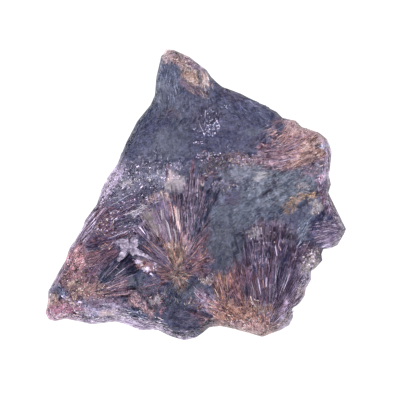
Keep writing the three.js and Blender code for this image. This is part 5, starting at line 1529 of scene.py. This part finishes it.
# every piece in turn
rng = np.random.default_rng(strands["seed"])
fibreMaterial, felsicMaterial = silkyFibres(), felsicGrains()
rockPiece = buildRock(brokenRock())
print("rock slab:", len(rockPiece.data.polygons), "faces")
pathX, pathY, wide, rise, colours, lean = layStrands(rng)
upper, right = pathY[:, 1] > strands["upperFrom"], pathX[:, 1] >= strands["rightFrom"]
parts = {"upper_strands": upper, "left_strands": ~upper & ~right, "right_strands": ~upper & right}
for name, part in parts.items():
    strandMesh(name, *[values[part] for values in (pathX, pathY, wide, rise, colours, lean)], fibreMaterial)
    print(name, part.sum(), "strands")
buildSingleBlades(cleavedBlades(), rng)
print("single blades:", len(singleBlades))
buildCrust(felsicMaterial)
print("crust:", len(crustBars), "bars")
chipPiece = buildChips(felsicMaterial)
print("broken chips:", len(chipPiece.data.polygons), "faces")

# floor, light and camera
stage = {
    "floorGlow": 1.15,
    "floorHalf": 3.0,  # metres
    "skyStrength": 0.94,
    "skyColour": "#e9e4f3",
    "lampWatts": 6.5,
    "lampColour": "#f4efff",
    "lampPlace": (-0.12, 0.03, 0.6),  # metres
    "lampSize": 0.4,
    "lens": 400,  # mm, long enough for the sides to stay out of sight
    "sensor": 36,
    "framePixels": 400,
    "pixelWidth": 0.278,  # mm at the height of the face
    "faceHeight": 12,
    "centre": (1.26, -1.4),
}


def buildStage():
    # an evenly glowing floor, an even sky, one soft lamp, and a camera straight above
    mesh = bpy.data.meshes.new("floor")
    half = stage["floorHalf"]
    mesh.from_pydata([(-half, -half, 0), (half, -half, 0), (half, half, 0), (-half, half, 0)], [],
                     [(0, 1, 2, 3)])
    material, tree = newMaterial("lit_white_table")
    glow = addNode(tree, "ShaderNodeEmission", {"Color": (1, 1, 1, 1), "Strength": stage["floorGlow"]})
    addNode(tree, "ShaderNodeOutputMaterial", {"Surface": glow.outputs["Emission"]})
    mesh.materials.append(material)
    floor = placed("floor", mesh)

    world = bpy.data.worlds.new("soft_tent")
    world.use_nodes = True
    tree = world.node_tree
    tree.nodes.clear()
    sky = addNode(tree, "ShaderNodeBackground", {
        "Color": (*linear(stage["skyColour"]), 1), "Strength": stage["skyStrength"]})
    addNode(tree, "ShaderNodeOutputWorld", {"Surface": sky.outputs["Background"]})
    bpy.context.scene.world = world

    lamp = bpy.data.lights.new("window", "AREA")
    lamp.shape = "SQUARE"
    lamp.size = stage["lampSize"]
    lamp.energy = stage["lampWatts"]
    lamp.color = linear(stage["lampColour"])
    holder = placed("window", lamp)
    holder.location = stage["lampPlace"]
    aim = -np.array(stage["lampPlace"])
    holder.rotation_euler = (math.atan2(math.hypot(aim[0], aim[1]), -aim[2]), 0,
                             math.atan2(aim[1], aim[0]) - math.pi / 2)

    lens = bpy.data.cameras.new("overhead")
    lens.lens = stage["lens"]
    lens.sensor_width = stage["sensor"]
    field = stage["framePixels"] * stage["pixelWidth"]
    far = field / lens.sensor_width * lens.lens + stage["faceHeight"]
    camera = placed("overhead", lens)
    camera.location = np.array((*stage["centre"], far)) * metres
    bpy.context.scene.camera = camera
    bpy.context.scene.view_settings.view_transform = "Standard"


buildStage()
print("stage: floor, sky, lamp and camera")
